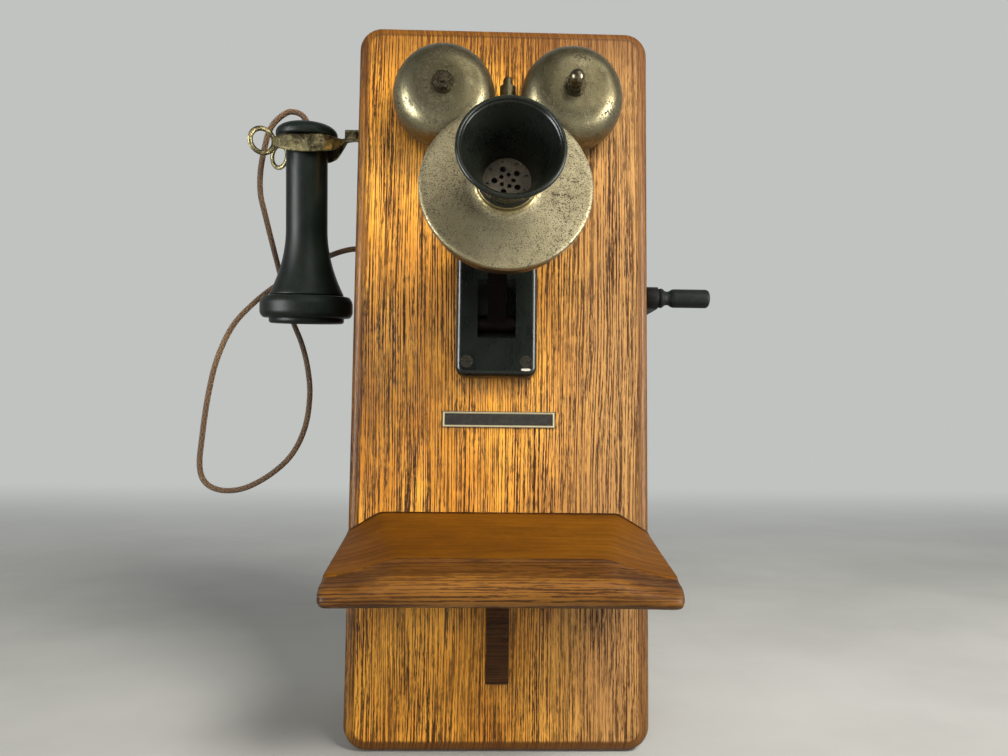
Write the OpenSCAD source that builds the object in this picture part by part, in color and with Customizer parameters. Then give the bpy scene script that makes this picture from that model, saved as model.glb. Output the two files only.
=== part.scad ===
// Magneto wall telephone in an oak case, with receiver, crank, gongs and writing shelf.
// X runs to the right, Y runs into the wall and Z runs up; the origin is the middle of the back.

/* [Case] */
// Outside width of the case
case_w = 193; // [185:1:215]
// Outside height of the case
case_h = 487; // [480:1:520]
// Depth of the case from the wall to the back of the door
case_d = 126; // [122:1:140]
// Thickness of the sides, top and bottom
side_t = 13; // [10:0.5:15]
// Thickness of the back board
back_t = 14; // [10:0.5:16]
// Diameter of the wall screw holes
wall_hole_d = 6; // [4:0.5:8]
// Spacing of the wall screw holes, side to side
wall_hole_w = 140; // [120:1:148]
// Spacing of the wall screw holes, up and down
wall_hole_h = 260; // [250:1:270]
// Height of the middle of the wall screw holes
wall_hole_z = 75; // [70:1:80]

/* [Door] */
// How far the door stands past the case all round
door_lip = 6; // [4:0.5:8]
// Thickness of the door
door_t = 20; // [16:0.5:24]
// Corner radius of the door
door_corner_r = 16; // [12:0.5:22]
// Radius of the rounded front edge
door_edge_r = 6.5; // [4:0.5:8]
// Step between the front face and the rounded edge
door_step = 1.2; // [0.5:0.1:2]
// Diameter of the hinge knuckles
hinge_d = 6.4; // [5:0.2:7]
// Length of each hinge
hinge_l = 42; // [30:1:60]
// Distance of the hinges from the top and the bottom of the case
hinge_drop = 78.5; // [64:0.5:94]
// Diameter of the hinge pins
hinge_pin_d = 2.8; // [2:0.1:3.4]

/* [Gongs] */
// Diameter of each gong
gong_d = 69.8; // [60:0.2:74]
// Depth of each gong from the rim to the crown
gong_h = 25; // [20:0.5:30]
// Wall of each gong
gong_wall = 2; // [1.5:0.1:3]
// Distance between the gong centres
gong_pitch = 86.9; // [86:0.1:96]
// Distance of the gong centres below the top of the case
gong_drop = 53; // [50.5:0.5:55.5]
// Place of the pair across the door
gong_x = 2.6; // [0:0.1:4]
// Gap between the gong rims and the door
gong_gap = 12; // [10:0.5:16]
// Diameter of the gong posts
gong_post_d = 10; // [8:0.5:13]
// Diameter of the gong screws
gong_screw_d = 5; // [4:0.5:6]
// Width of the gong nuts across corners
gong_nut_d = 13; // [11:0.5:16]
// Height of the gong nuts
gong_nut_h = 4.6; // [3:0.2:7]
// Diameter of the clapper hammer
hammer_d = 11; // [9:0.5:12]
// Height of the clapper hammer
hammer_h = 13; // [8:0.5:16]
// Diameter of the clapper rod
clapper_d = 3; // [2:0.2:4]

/* [Transmitter] */
// Diameter of the transmitter faceplate
face_d = 99.2; // [86:0.2:106]
// Depth of the transmitter cup behind the faceplate
cup_h = 26; // [20:0.5:32]
// Distance of the faceplate from the door
face_reach = 102; // [96:1:110]
// Height of the faceplate centre
face_z = 101; // [95:0.5:104]
// Upward lean of the transmitter at rest
face_lean = 7.5; // [0:0.5:10]
// Turn of the transmitter to the right
face_turn = 1.5; // [0:0.5:5]
// Place of the transmitter bracket across the door
transmitter_x = -3.4; // [-4:0.1:4]
// Distance of the faceplate's middle to the right of the bracket's
face_off = 3.3; // [0:0.1:4]
// Diameter of the neck on the faceplate
neck_d = 34; // [30:0.5:42]
// Height of the neck
neck_h = 5; // [3:0.5:7]
// Diameter of the mouthpiece rim
horn_rim_d = 57.4; // [50:0.2:66]
// Length of the mouthpiece past the neck
horn_l = 39; // [32:0.5:46]
// Wall of the mouthpiece
horn_wall = 2.6; // [2:0.1:4]
// Diameter of the grille at the bottom of the mouthpiece
grille_d = 29; // [24:0.5:32]
// Width of the bracket on the door
bracket_w = 54.5; // [50:0.5:58]
// Height of the bracket
bracket_h = 90; // [84:0.5:96]
// Thickness of the bracket
bracket_t = 15; // [14.5:0.5:18]
// Height of the bottom of the bracket
bracket_z = -0.5; // [-5:0.5:4]
// Corner radius of the bracket
bracket_corner_r = 7; // [6:0.5:10]
// Width of the arm
arm_w = 12.4; // [9:0.2:15]
// Thickness of the arm
arm_t = 9; // [7:0.5:11]
// Width of the knuckle in the bracket
knuckle_w = 25; // [22:0.5:28]
// Diameter of the bracket pin
pin_d = 5; // [4:0.2:6]
// Height of the bracket pin above the bottom of the bracket
pin_rise = 36; // [34:0.5:40]
// Diameter of the bracket screw heads
screw_head_d = 8.4; // [6:0.2:9]

/* [Shelf] */
// How far the shelf stands past the door at each end
shelf_over = 0; // [-8:0.5:4]
// Reach of the flat top of the shelf from the door
shelf_reach = 82; // [66:1:100]
// Thickness of the shelf board
shelf_t = 20; // [16:0.5:24]
// Height of the back edge of the shelf
shelf_z = -91.5; // [-96:0.5:-86]
// Slope of the shelf
shelf_slope = 12.5; // [8:0.5:16]
// Radius of the rounded lip
shelf_lip_r = 10; // [8:0.2:11]
// Width of the sloping ends
shelf_bevel_w = 30; // [16:0.5:34]
// Drop of the sloping ends
shelf_bevel_h = 14; // [6:0.5:15]
// Thickness of the bracket under the shelf
strut_t = 15; // [12:0.5:20]
// Height of the bracket under the shelf
strut_h = 84.5; // [72:0.5:100]
// Reach of the bracket under the shelf
strut_reach = 57; // [45:1:58]
// Reach of the foot of that bracket
strut_foot = 12; // [8:0.5:18]
// Width of the name plate
plate_w = 77; // [60:1:90]
// Height of the name plate
plate_h = 11; // [8:0.5:14]
// Height of the middle of the name plate
plate_z = -28.8; // [-34:0.2:-22]

/* [Receiver] */
// Distance of the receiver from the wall
hook_d = 90; // [86:0.5:94]
// Distance of the receiver from the left wall of the case
receiver_out = 54; // [52:0.5:58]
// Lean of the receiver and its fork, foot towards the wall
hang_lean = 7; // [0:0.5:8]
// Diameter of the receiver barrel
barrel_d = 31.4; // [29:0.2:33]
// Diameter of the receiver's top flange
flange_d = 46.6; // [44:0.2:50]
// Height of the flange and its dome
flange_h = 11; // [10:0.5:14]
// Height of the joint between shell and ear cap
ear_z = 66; // [60:0.5:72]
// Diameter of the mouth of the shell
mouth_d = 56; // [50:0.5:60]
// Length of the flare
flare_l = 42; // [30:1:55]
// Diameter of the ear cap
ear_d = 70.6; // [62:0.2:72]
// Height of the ear cap
ear_h = 21; // [17:0.5:24]
// Diameter of the ear cap's lower lip
ear_lip_d = 57; // [52:0.5:60]
// Depth of the hollow in the ear cap
ear_dish_h = 7.5; // [6:0.5:9]
// Diameter of the sound hole
ear_hole_d = 9; // [6:0.5:12]
// Diameter of the cord
cord_d = 4.4; // [4:0.1:4.6]

/* [Switch hook] */
// Height of the hook lever
lever_h = 8; // [6:0.5:9]
// Thickness of the hook lever
lever_t = 5; // [4:0.2:6]
// Distance of the lever below the top of the case
lever_drop = 53.1; // [52.5:0.2:54.5]
// Distance of the hook pivot inside the left wall
pivot_in = 23; // [20:0.5:26]
// Diameter of the hook pivot pin
pivot_d = 4; // [3:0.2:5]
// Thickness of the prongs
prong_t = 2.6; // [2:0.1:3]
// Height of the prongs
prong_h = 13.6; // [11:0.2:14]
// Room between each prong and the barrel
prong_room = 1.6; // [1.4:0.1:2]
// Outside diameter of the rings on the prongs
ring_d = 21.6; // [20:0.2:25]
// Hole of those rings
ring_hole_d = 14; // [11:0.2:16]
// Outward turn of the rings
ring_turn = 35; // [25:1:40]

/* [Magneto] */
// Height of the crank shaft
crank_z = 60.5; // [58:0.5:62]
// Distance of the crank shaft from the wall
crank_d = 65; // [62:0.5:68]
// Diameter of the crank shaft
shaft_d = 10; // [8:0.5:12]
// Length of the crank arm
crank_l = 60; // [54:0.5:66]
// Diameter of the crank handle
handle_d = 13.4; // [11:0.2:16]
// Length of the crank handle
handle_l = 37; // [30:0.5:45]
// Teeth on the drive gear
gear_teeth = 60; // [60:12:72]
// Teeth on the pinion
pinion_teeth = 12; // [12:1:14]
// Tooth module
tooth_m = 1.25; // [1.2:0.01:1.3]
// Width of the gear
gear_w = 6; // [5:0.5:8]
// Play between the teeth
tooth_play = 0.24; // [0.2:0.02:0.3]
// Diameter of the armature
armature_d = 35.6; // [30:0.2:36]
// Length of the armature
armature_l = 70; // [60:1:72]
// Gap between armature and pole shoes
air_gap = 0.5; // [0.4:0.1:0.8]
// Number of horseshoe magnets
magnets = 4; // [3:1:5]
// Thickness of the magnet bars
magnet_t = 12; // [9:0.5:13]
// Inside width of the magnets
magnet_in = 48; // [44:0.5:50]
// Thickness of the magneto's end plates
end_plate_t = 5; // [4:0.5:6]
// Thickness of the magneto's base
base_t = 5; // [4:0.5:6]

/* [Battery and coil] */
// Diameter of each dry cell
cell_d = 64; // [58:0.5:66]
// Height of each dry cell
cell_h = 150; // [130:1:160]
// Length of the induction coil
coil_l = 90; // [70:1:96]
// Diameter of the induction coil
coil_d = 26; // [20:0.5:30]
// Side of the coil's end cheeks
cheek_w = 32; // [31:0.5:38]

/* [Hidden] */
$fn = 64;
// Free play of a shaft in its bore, all round
fit = 0.08;
// Room between pieces that move past each other
room = 0.3;

// Case faces
half_w = case_w / 2;
half_h = case_h / 2;
in_x = half_w - side_t;
in_z = half_h - side_t;
door_back = -case_d;
door_front = -case_d - door_t;
door_w = case_w + 2 * door_lip;
door_h = case_h + 2 * door_lip;
hinge_z = half_h - hinge_drop;
shelf_w = door_w + 2 * shelf_over;

// Hinge axis just outside the left wall, behind the door
hinge_r = hinge_d / 2;
hinge_x = -half_w - hinge_r - fit;
hinge_y = door_back + hinge_r;
leaf_t = 1.5;
leaf_w = 22;
web_t = 2;
pin_head_h = 2;

// Magneto places, measured from the crank shaft
crank_y = -crank_d;
gear_r = gear_teeth * tooth_m / 2;
pinion_r = pinion_teeth * tooth_m / 2;
pressure_angle = 25;
gear_addendum = 1;
gear_dedendum = 1.25;
flank_steps = 3;
armature_z = crank_z - gear_r - pinion_r;
bore_r = armature_d / 2 + air_gap;
pole_h = armature_d + 14;
pole_slot = 12;
frame_bottom = armature_z - pole_h / 2 - 2;
shelf_top = frame_bottom - base_t;
gen_shelf_t = 12;
gen_shelf_d = 92;
magneto_x0 = -44;
magneto_x1 = magneto_x0 + armature_l + 4;
magnet_gap = 1.2;
magnet_w = (magneto_x1 - magneto_x0 - (magnets - 1) * magnet_gap) / magnets;
plate_in = 1;
plate_x0 = magneto_x0 - plate_in - end_plate_t;
plate_x1 = magneto_x1 + plate_in;
gear_x = plate_x1 + end_plate_t + 5;
armature_shaft_d = 8;
hub_t = 3;

// Crank outside the right wall
bush_flange_t = 2.5;
bush_wall = 4;
hub_x = half_w + bush_flange_t + room;
hub_l = 10;
hub_r = 9;
crank_out = 5;
crank_t = 8.5;
crank_boss_r = 8;
spindle_d = 6;
handle_x = hub_x + crank_out + crank_t + room;
handle_neck_r = 5;
handle_collar_r = 7;

// Switch hook and receiver
hook_y = -hook_d;
pivot_x = -half_w + side_t + pivot_in;
lever_z = half_h - lever_drop;
flange_drop = 3.2;
flange_z = lever_z - flange_drop;
receiver_x = half_w + receiver_out;
lever_out = 24.5;
lever_end = -half_w - lever_out;
prong_mid = barrel_d / 2 + prong_room + prong_t / 2;
prong_z = flange_z - room - prong_h / 2;
ring_out = 28.4;
ring_x = -receiver_x - ring_out;
ring_drop = 11;
ring_z = lever_z - ring_drop;
lever_slot_up = 16;
lever_slot_down = 8;
slot_side = 1.5;
ear_bottom = ear_z - ear_h;
rec_y = hook_y;

// Gong and ringer
gong_r = gong_d / 2;
gong_z = half_h - gong_drop;
gong_rim_y = door_front - gong_gap;
gong_seat_y = gong_rim_y - gong_h + gong_wall;
ringer_drop = 33.5;
ringer_axis_z = gong_z - ringer_drop;
ringer_y = door_back + 18;
coil_r = 12;
coil_half = 18;
ringer_coil_gap = 7;
coil_top = ringer_axis_z - ringer_coil_gap;
ringer_room = 7.5;
yoke_t = 5;
coil_z0 = crank_z + magnet_in / 2 + magnet_t + ringer_room + yoke_t;
core_r = 4;
ringer_plate_t = 3;
ringer_half = 34;
armature_half = 27;
armature_t = 4;
armature_w = 10;
clapper_hub_r = 5;
clapper_pin_d = 4;
clapper_rise = 21;
clapper_turn_z = ringer_axis_z + clapper_rise;
clapper_y = gong_rim_y;
hammer_z = gong_z + 3;

// Transmitter places
bracket_front = door_front - bracket_t;
pin_z = bracket_z + pin_rise;
slot_floor = 2;
knuckle_r = (bracket_t - slot_floor - 2 * room) / 2 - 0.2;
pin_y = door_front - slot_floor - room - knuckle_r;
face_y = door_front - face_reach;
slot_down = 10;
slot_up = 30;
slot_room = 0.3;

// Route of the receiver cord: out of the receiver, through the fork, round the loop and into the case
tail = [-receiver_x, hook_y, lever_z];
entry = [-half_w, hook_y + 30, lever_z - 81.4];
tail_z = 4.6;
tail_rise = 6;
CORD_UP = [
    tail + tail_z * [0, -sin(hang_lean), cos(hang_lean)],
    tail + [-0.6, 0, 0] + (tail_z + tail_rise) * [0, -sin(hang_lean), cos(hang_lean)],
    tail + [-5, -1.6, 15.8], tail + [-13, -1.6, 17.6], tail + [-19.5, -1.5, 14.2], tail + [-25.8, -1, 7.8],
    tail + [-29.5, -0.5, 0.6], tail + [-31.5, 0, -7.4], tail + [-33.5, 0.5, -17.4], tail + [-36, 4, -30.4],
    tail + [-37, 10, -44.4], tail + [-35.5, 18, -57.4], tail + [-33.5, 33, -76.4], tail + [-31.5, 51.5, -97.4]
];
CORD_DOWN = [
    tail + [-31.5, 51.5, -97.4], tail + [-27.5, 56, -117.4], tail + [-20.5, 58.5, -138.4],
    tail + [-13, 57, -155.4],
    tail + [-6, 50, -175.4], tail + [-2, 44, -198.4], tail + [-3.5, 38, -224.4], tail + [-12.5, 35, -246.4],
    tail + [-28.5, 34, -262.4], tail + [-48.5, 34, -273.4], tail + [-66.5, 34, -275.4],
    tail + [-79.5, 34, -269.4], tail + [-84.5, 34, -256.4], tail + [-83.5, 34, -234.4],
    tail + [-81, 36, -202.4], tail + [-76, 39, -171.4], tail + [-66.5, 45, -143.4],
    tail + [-54, 57, -122.4], tail + [-37.5, 63, -105.9],
    entry + [-70.5, 33, -11.5], entry + [-46, 17, -3], entry + [-25.5, 3, 0],
    entry + [-9.5, 0, 0], entry + [2.5, 0, 0]
];
CORD = concat(CORD_UP, [for (i = [1 : len(CORD_DOWN) - 1]) CORD_DOWN[i]]);
cord_steps = 2;
cord_sides = 8;
cord_exit = CORD[len(CORD) - 1];
cord_socket = 5;

// Point on a smooth curve through the route's points
function spline(a, b, c, d, t) =
    0.5 * (2 * b + (c - a) * t + (2 * a - 5 * b + 4 * c - d) * t * t
    + (3 * b - a - 3 * c + d) * t * t * t);
function smooth(p, n) = [
    for (i = [0 : len(p) - 2]) for (k = [0 : n - 1])
        spline(p[max(i - 1, 0)], p[i], p[i + 1], p[min(i + 2, len(p) - 1)], k / n),
    p[len(p) - 1]
];
function unit(v) = v / norm(v);
function along(p, i) = unit(p[min(i + 1, len(p) - 1)] - p[max(i - 1, 0)]);
// One ring of the cord round a point of its route
function ring(p, i, r, n) =
    let (t = i == 0 ? [0, 0, 1] : i == len(p) - 1 ? [1, 0, 0] : along(p, i),
        u = unit(cross(t, [0, 1, 0])),
        v = cross(u, t))
    [for (k = [0 : n - 1]) p[i] + r * (cos(360 * k / n) * u + sin(360 * k / n) * v)];

// Tube along the route between two of its points
module tube(p, first, last, r, n) {
    rings = last - first;
    points = [for (i = [first : last]) each ring(p, i, r, n)];
    sides = [for (i = [0 : rings - 1]) for (k = [0 : n - 1])
        each [
            [i * n + k, i * n + (k + 1) % n, (i + 1) * n + k],
            [i * n + (k + 1) % n, (i + 1) * n + (k + 1) % n, (i + 1) * n + k]
        ]];
    caps = [[for (k = [0 : n - 1]) n - 1 - k], [for (k = [0 : n - 1]) rings * n + k]];
    polyhedron(points = points, faces = concat(sides, caps));
}

// Block between two corners
module block(a, b) translate(a) cube(b - a);
// Round bars along X, Y and Z
module rod_x(p, r, l) translate(p) rotate([0, 90, 0]) cylinder(r = r, h = l);
module rod_y(p, r, l) translate(p) rotate([-90, 0, 0]) cylinder(r = r, h = l);
module rod_z(p, r, l) translate(p) cylinder(r = r, h = l);
// Turned shape whose axis runs out from the wall
module turn_front(p) translate(p) rotate([90, 0, 0]) rotate_extrude() children();

// Profile of a board edge: a step and a quarter round
module edge_profile(r, t, e, s) {
    square([r, t - s - e]);
    square([r - e, t]);
    translate([r - e, t - s - e]) intersection() {
        circle(e);
        square(e);
    }
}
// Rounded panel with a moulded front edge, face up
module thumb_panel(w, h, t, r, e, s) {
    translate([r - w / 2, r - h / 2, 0]) cube([w - 2 * r, h - 2 * r, t]);
    for (side = [0, 1]) rotate(180 * side) {
        translate([w / 2 - r, h / 2 - r, 0]) rotate([90, 0, 0])
            linear_extrude(h - 2 * r) edge_profile(r, t, e, s);
        translate([r - w / 2, h / 2 - r, 0]) rotate([90, 0, 90])
            linear_extrude(w - 2 * r) edge_profile(r, t, e, s);
        translate([w / 2 - r, h / 2 - r, 0]) rotate_extrude(angle = 90) edge_profile(r, t, e, s);
        translate([r - w / 2, h / 2 - r, 0]) rotate(90)
            rotate_extrude(angle = 90) edge_profile(r, t, e, s);
    }
}

// Involute gear outline
function inv(a) = tan(a) * 180 / PI - a;
function half_tooth(r, z) =
    let (rp = z * tooth_m / 2, rb = rp * cos(pressure_angle), a = r > rb ? acos(rb / r) : 0)
    90 / z - tooth_play / 4 / rp * 180 / PI + inv(pressure_angle) - inv(a);
function polar(r, a) = [r * cos(a), r * sin(a)];
function tooth_radii(z) =
    let (rp = z * tooth_m / 2, root = rp - gear_dedendum * tooth_m, tip = rp + gear_addendum * tooth_m,
        start = max(root, rp * cos(pressure_angle)))
    concat(root < start ? [root] : [], [for (k = [0 : flank_steps]) start + (tip - start) * k / flank_steps]);
function gear_outline(z) =
    let (rr = tooth_radii(z), n = len(rr))
    [for (i = [0 : z - 1]) each concat(
        [for (k = [0 : n - 1]) polar(rr[k], i * 360 / z - half_tooth(rr[k], z))],
        [for (k = [0 : n - 1]) polar(rr[n - 1 - k], i * 360 / z + half_tooth(rr[n - 1 - k], z))])];

// Case boards
module backboard() color("sienna") difference() {
    block([-half_w, -back_t, -half_h], [half_w, 0, half_h]);
    for (sx = [-1, 1]) for (sz = [-1, 1])
        rod_y([sx * wall_hole_w / 2, -back_t - 1, wall_hole_z + sz * wall_hole_h / 2],
            wall_hole_d / 2, back_t + 2);
}

module side_board(sx) {
    block([sx > 0 ? in_x : -half_w, door_back, -half_h], [sx > 0 ? half_w : -in_x, -back_t, half_h]);
}

module side_left() color("peru") difference() {
    side_board(-1);
    block([-half_w - 1, hook_y - lever_t / 2 - slot_side, lever_z - lever_h / 2 - lever_slot_down],
        [1 - in_x, hook_y + lever_t / 2 + slot_side, lever_z + lever_h / 2 + lever_slot_up]);
    rod_x([-half_w - 1, cord_exit.y, cord_exit.z], bush_r, side_t + 2);
}

module side_right() color("peru") difference() {
    side_board(1);
    rod_x([in_x - 1, crank_y, crank_z], shaft_d / 2 + bush_wall, side_t + 2);
}

module case_top() color("peru")
    block([-in_x, door_back, in_z], [in_x, -back_t, half_h]);

module case_bottom() color("peru")
    block([-in_x, door_back, -half_h], [in_x, -back_t, -in_z]);

module generator_shelf() color("burlywood")
    block([-in_x, -back_t - gen_shelf_d, shelf_top - gen_shelf_t], [in_x, -back_t, shelf_top]);

// Hinges: three knuckles each, the middle one on the door
knuckle_l = hinge_l / 3;
module hinge_leaves_case() color("darkgoldenrod") for (sz = [-1, 1]) difference() {
    union() {
        block([-half_w - leaf_t, hinge_y + hinge_r + room, sz * hinge_z - hinge_l / 2],
            [-half_w, hinge_y + leaf_w, sz * hinge_z + hinge_l / 2]);
        for (e = [-1, 1]) {
            rod_z([hinge_x, hinge_y, sz * hinge_z + e * knuckle_l - knuckle_l / 2 + fit],
                hinge_r, knuckle_l - 2 * fit);
            block([-half_w - leaf_t, hinge_y, sz * hinge_z + e * knuckle_l - knuckle_l / 2 + fit],
                [-half_w, hinge_y + leaf_w, sz * hinge_z + e * knuckle_l + knuckle_l / 2 - fit]);
        }
    }
    rod_z([hinge_x, hinge_y, sz * hinge_z - hinge_l / 2 - 1], hinge_pin_d / 2 + fit, hinge_l + 2);
}

module hinge_pins() color("goldenrod") for (sz = [-1, 1]) {
    rod_z([hinge_x, hinge_y, sz * hinge_z - hinge_l / 2], hinge_pin_d / 2, hinge_l);
    for (e = [-1, 1])
        translate([hinge_x, hinge_y, sz * hinge_z + e * (hinge_l / 2 + pin_head_h / 2)])
            cylinder(r = hinge_r, h = pin_head_h, center = true);
}

module hinge_leaves_door() color("darkgoldenrod") for (sz = [-1, 1]) difference() {
    union() {
        block([hinge_x - web_t / 2, door_back - leaf_t, sz * hinge_z - knuckle_l / 2 + fit],
            [hinge_x + leaf_w, door_back, sz * hinge_z + knuckle_l / 2 - fit]);
        block([hinge_x - web_t / 2, door_back - leaf_t, sz * hinge_z - knuckle_l / 2 + fit],
            [hinge_x + web_t / 2, hinge_y, sz * hinge_z + knuckle_l / 2 - fit]);
        rod_z([hinge_x, hinge_y, sz * hinge_z - knuckle_l / 2 + fit], hinge_r, knuckle_l - 2 * fit);
    }
    rod_z([hinge_x, hinge_y, sz * hinge_z - hinge_l / 2], hinge_pin_d / 2 + fit, hinge_l);
}

// Bushing where the receiver cord enters, with a socket for the cord
bush_r = cord_d / 2 + 3.5;
module cord_bushing() color("black") difference() {
    union() {
        rod_x([-half_w - bush_flange_t, cord_exit.y, cord_exit.z], bush_r + bush_flange_t, bush_flange_t);
        rod_x([-half_w, cord_exit.y, cord_exit.z], bush_r, side_t);
    }
    rod_x([cord_exit.x - 2 * side_t, cord_exit.y, cord_exit.z], cord_d / 2 + fit, 2 * side_t);
}

module crank_bushing() color("darkgoldenrod") difference() {
    union() {
        rod_x([half_w, crank_y, crank_z], shaft_d / 2 + bush_wall + 3, bush_flange_t);
        rod_x([in_x, crank_y, crank_z], shaft_d / 2 + bush_wall, side_t);
    }
    rod_x([in_x - 1, crank_y, crank_z], shaft_d / 2 + fit, side_t + bush_flange_t + 2);
}

// Switch hook inside the case
frame_t = 3;
cheek_gap = lever_t + 5;
cheek_l = pivot_in + 9;
cheek_h = 24;
frame_h = 62;
frame_drop = 38;
frame_z = lever_z - frame_drop;
spring_w = 7;
spring_t = 0.8;
spring_l = 32;
spring_pitch = 5;
spring_z = lever_z - 26;
spring_block_l = 11;
module hook_frame() color("darkgoldenrod") difference() {
    union() {
        block([-in_x, hook_y - 19, frame_z], [frame_t - in_x, hook_y + 19, frame_z + frame_h]);
        for (sy = [-1, 1]) translate([0, hook_y + sy * (cheek_gap + frame_t) / 2, 0])
            block([-in_x, -frame_t / 2, lever_z - cheek_h / 2],
                [cheek_l - in_x, frame_t / 2, lever_z + cheek_h / 2]);
    }
    block([-in_x - 1, hook_y - lever_t / 2 - slot_side, lever_z - lever_h / 2 - lever_slot_down],
        [frame_t + 1 - in_x, hook_y + lever_t / 2 + slot_side, lever_z + lever_h / 2 + lever_slot_up]);
    rod_y([pivot_x, hook_y - cheek_gap, lever_z], pivot_d / 2, 2 * cheek_gap);
}

module hook_pin() color("silver") {
    rod_y([pivot_x, hook_y - cheek_gap / 2 - frame_t, lever_z], pivot_d / 2, cheek_gap + 2 * frame_t);
    for (sy = [-1, 1])
        translate([pivot_x, hook_y + sy * (cheek_gap / 2 + frame_t + pin_head_h / 2), lever_z])
            rotate([90, 0, 0]) cylinder(d = pivot_d + 3, h = pin_head_h, center = true);
}

module contact_springs() color("tan") {
    block([frame_t - in_x, hook_y - spring_w / 2 - 1, spring_z - 4],
        [frame_t + spring_block_l - in_x, hook_y + spring_w / 2 + 1, spring_z + 2 * spring_pitch + 4]);
    for (i = [0 : 2])
        block([frame_t - in_x, hook_y - spring_w / 2, spring_z + i * spring_pitch],
            [frame_t + spring_block_l + spring_l - i * 3 - in_x, hook_y + spring_w / 2,
            spring_z + i * spring_pitch + spring_t]);
}

// Magneto: base, end plates, magnets and pole shoes
plate_half = 22;
plate_over = 12;
plate_top = crank_z + shaft_d / 2 + plate_over;
module generator_frame() color("goldenrod") difference() {
    union() {
        block([plate_x0 - 2, crank_y - magnet_in / 2 - magnet_t - 2, shelf_top],
            [plate_x1 + end_plate_t + 2, crank_y + magnet_in / 2 + magnet_t + 2, frame_bottom]);
        for (x = [plate_x0, plate_x1])
            block([x, crank_y - plate_half, frame_bottom],
                [x + end_plate_t, crank_y + plate_half, plate_top]);
    }
    rod_x([plate_x0 - 1, crank_y, crank_z], shaft_d / 2 + fit, plate_x1 - plate_x0 + end_plate_t + 2);
    rod_x([plate_x0 - 1, crank_y, armature_z], armature_shaft_d / 2 + fit,
        plate_x1 - plate_x0 + end_plate_t + 2);
}

module horseshoe_profile() {
    difference() {
        circle(magnet_in / 2 + magnet_t);
        circle(magnet_in / 2);
        translate([-magnet_in, -2 * magnet_in]) square(2 * magnet_in);
    }
    for (s = [-1, 1])
        translate([s > 0 ? magnet_in / 2 : -magnet_in / 2 - magnet_t, frame_bottom - crank_z])
            square([magnet_t, crank_z - frame_bottom]);
}
module horseshoe_magnets() color("firebrick") for (i = [0 : magnets - 1])
    translate([magneto_x0 + i * (magnet_w + magnet_gap), crank_y, crank_z])
        rotate([90, 0, 90]) linear_extrude(magnet_w) horseshoe_profile();

module pole_shoes() color("dimgray") difference() {
    block([magneto_x0, crank_y - magnet_in / 2, armature_z - pole_h / 2],
        [magneto_x1, crank_y + magnet_in / 2, armature_z + pole_h / 2]);
    rod_x([magneto_x0 - 1, crank_y, armature_z], bore_r, magneto_x1 - magneto_x0 + 2);
    block([magneto_x0 - 1, crank_y - pole_slot / 2, armature_z - pole_h],
        [magneto_x1 + 1, crank_y + pole_slot / 2, armature_z + pole_h]);
}

// Armature: a shuttle with two winding slots, on a shaft with the pinion
armature_x = magneto_x0 + 2;
web = 10;
module armature_core() color("gray") {
    translate([armature_x, crank_y, armature_z]) rotate([0, 90, 0]) linear_extrude(armature_l)
        difference() {
            circle(d = armature_d);
            for (s = [-1, 1]) translate([s > 0 ? web / 2 : -armature_d, -armature_d / 4])
                square([armature_d - web / 2, armature_d / 2]);
        }
    rod_x([plate_x0 - 3, crank_y, armature_z], armature_shaft_d / 2,
        armature_x - plate_x0 + 3);
    rod_x([armature_x + armature_l, crank_y, armature_z], armature_shaft_d / 2,
        gear_x + gear_w + 2 - armature_x - armature_l);
}

module armature_winding() color("saddlebrown")
    translate([armature_x, crank_y, armature_z]) rotate([0, 90, 0]) linear_extrude(armature_l)
        intersection() {
            circle(d = armature_d - 2);
            union() for (s = [-1, 1]) translate([s > 0 ? web / 2 : -armature_d, -armature_d / 4])
                square([armature_d - web / 2, armature_d / 2]);
        }

module armature_pinion() color("darkgoldenrod") difference() {
    translate([gear_x - 1, crank_y, armature_z]) rotate([0, 90, 0]) rotate(180 / pinion_teeth)
        linear_extrude(gear_w + 2) polygon(gear_outline(pinion_teeth));
    rod_x([gear_x - 2, crank_y, armature_z], armature_shaft_d / 2, gear_w + 4);
}

// Crank shaft, gear with spokes, arm and handle
module crank_shaft() color("silver")
    rod_x([plate_x0 - 3, crank_y, crank_z], shaft_d / 2, hub_x + hub_l + 2 - plate_x0 + 3);

spokes = 5;
gear_rim = 5;
gear_hub_r = 11;
module drive_gear() color("goldenrod") difference() {
    union() {
        translate([gear_x, crank_y, crank_z]) rotate([0, 90, 0]) linear_extrude(gear_w) difference() {
            polygon(gear_outline(gear_teeth));
            for (i = [0 : spokes - 1]) rotate(i * 360 / spokes)
                translate([(gear_r - gear_rim + gear_hub_r) / 2, 0])
                    circle((gear_r - gear_rim - gear_hub_r) / 2 - 1.5);
        }
        rod_x([gear_x - hub_t, crank_y, crank_z], gear_hub_r, gear_w + 2 * hub_t);
    }
    rod_x([gear_x - 2 * hub_t, crank_y, crank_z], shaft_d / 2, gear_w + 4 * hub_t);
}

module crank_arm() color("black") {
    difference() {
        union() {
            rod_x([hub_x, crank_y, crank_z], hub_r, hub_l);
            translate([0, 0, crank_z - crank_boss_r]) linear_extrude(2 * crank_boss_r) polygon([
                [hub_x, crank_y], [hub_x + hub_l, crank_y],
                [hub_x + crank_out + crank_t, crank_y - crank_l], [hub_x + crank_out, crank_y - crank_l]]);
            rod_x([hub_x + crank_out, crank_y - crank_l, crank_z], crank_boss_r, crank_t);
        }
        rod_x([hub_x - 1, crank_y, crank_z], shaft_d / 2, hub_l + 2);
    }
    rod_x([hub_x + crank_out + crank_t, crank_y - crank_l, crank_z], spindle_d / 2, handle_l + 1);
}

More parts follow.
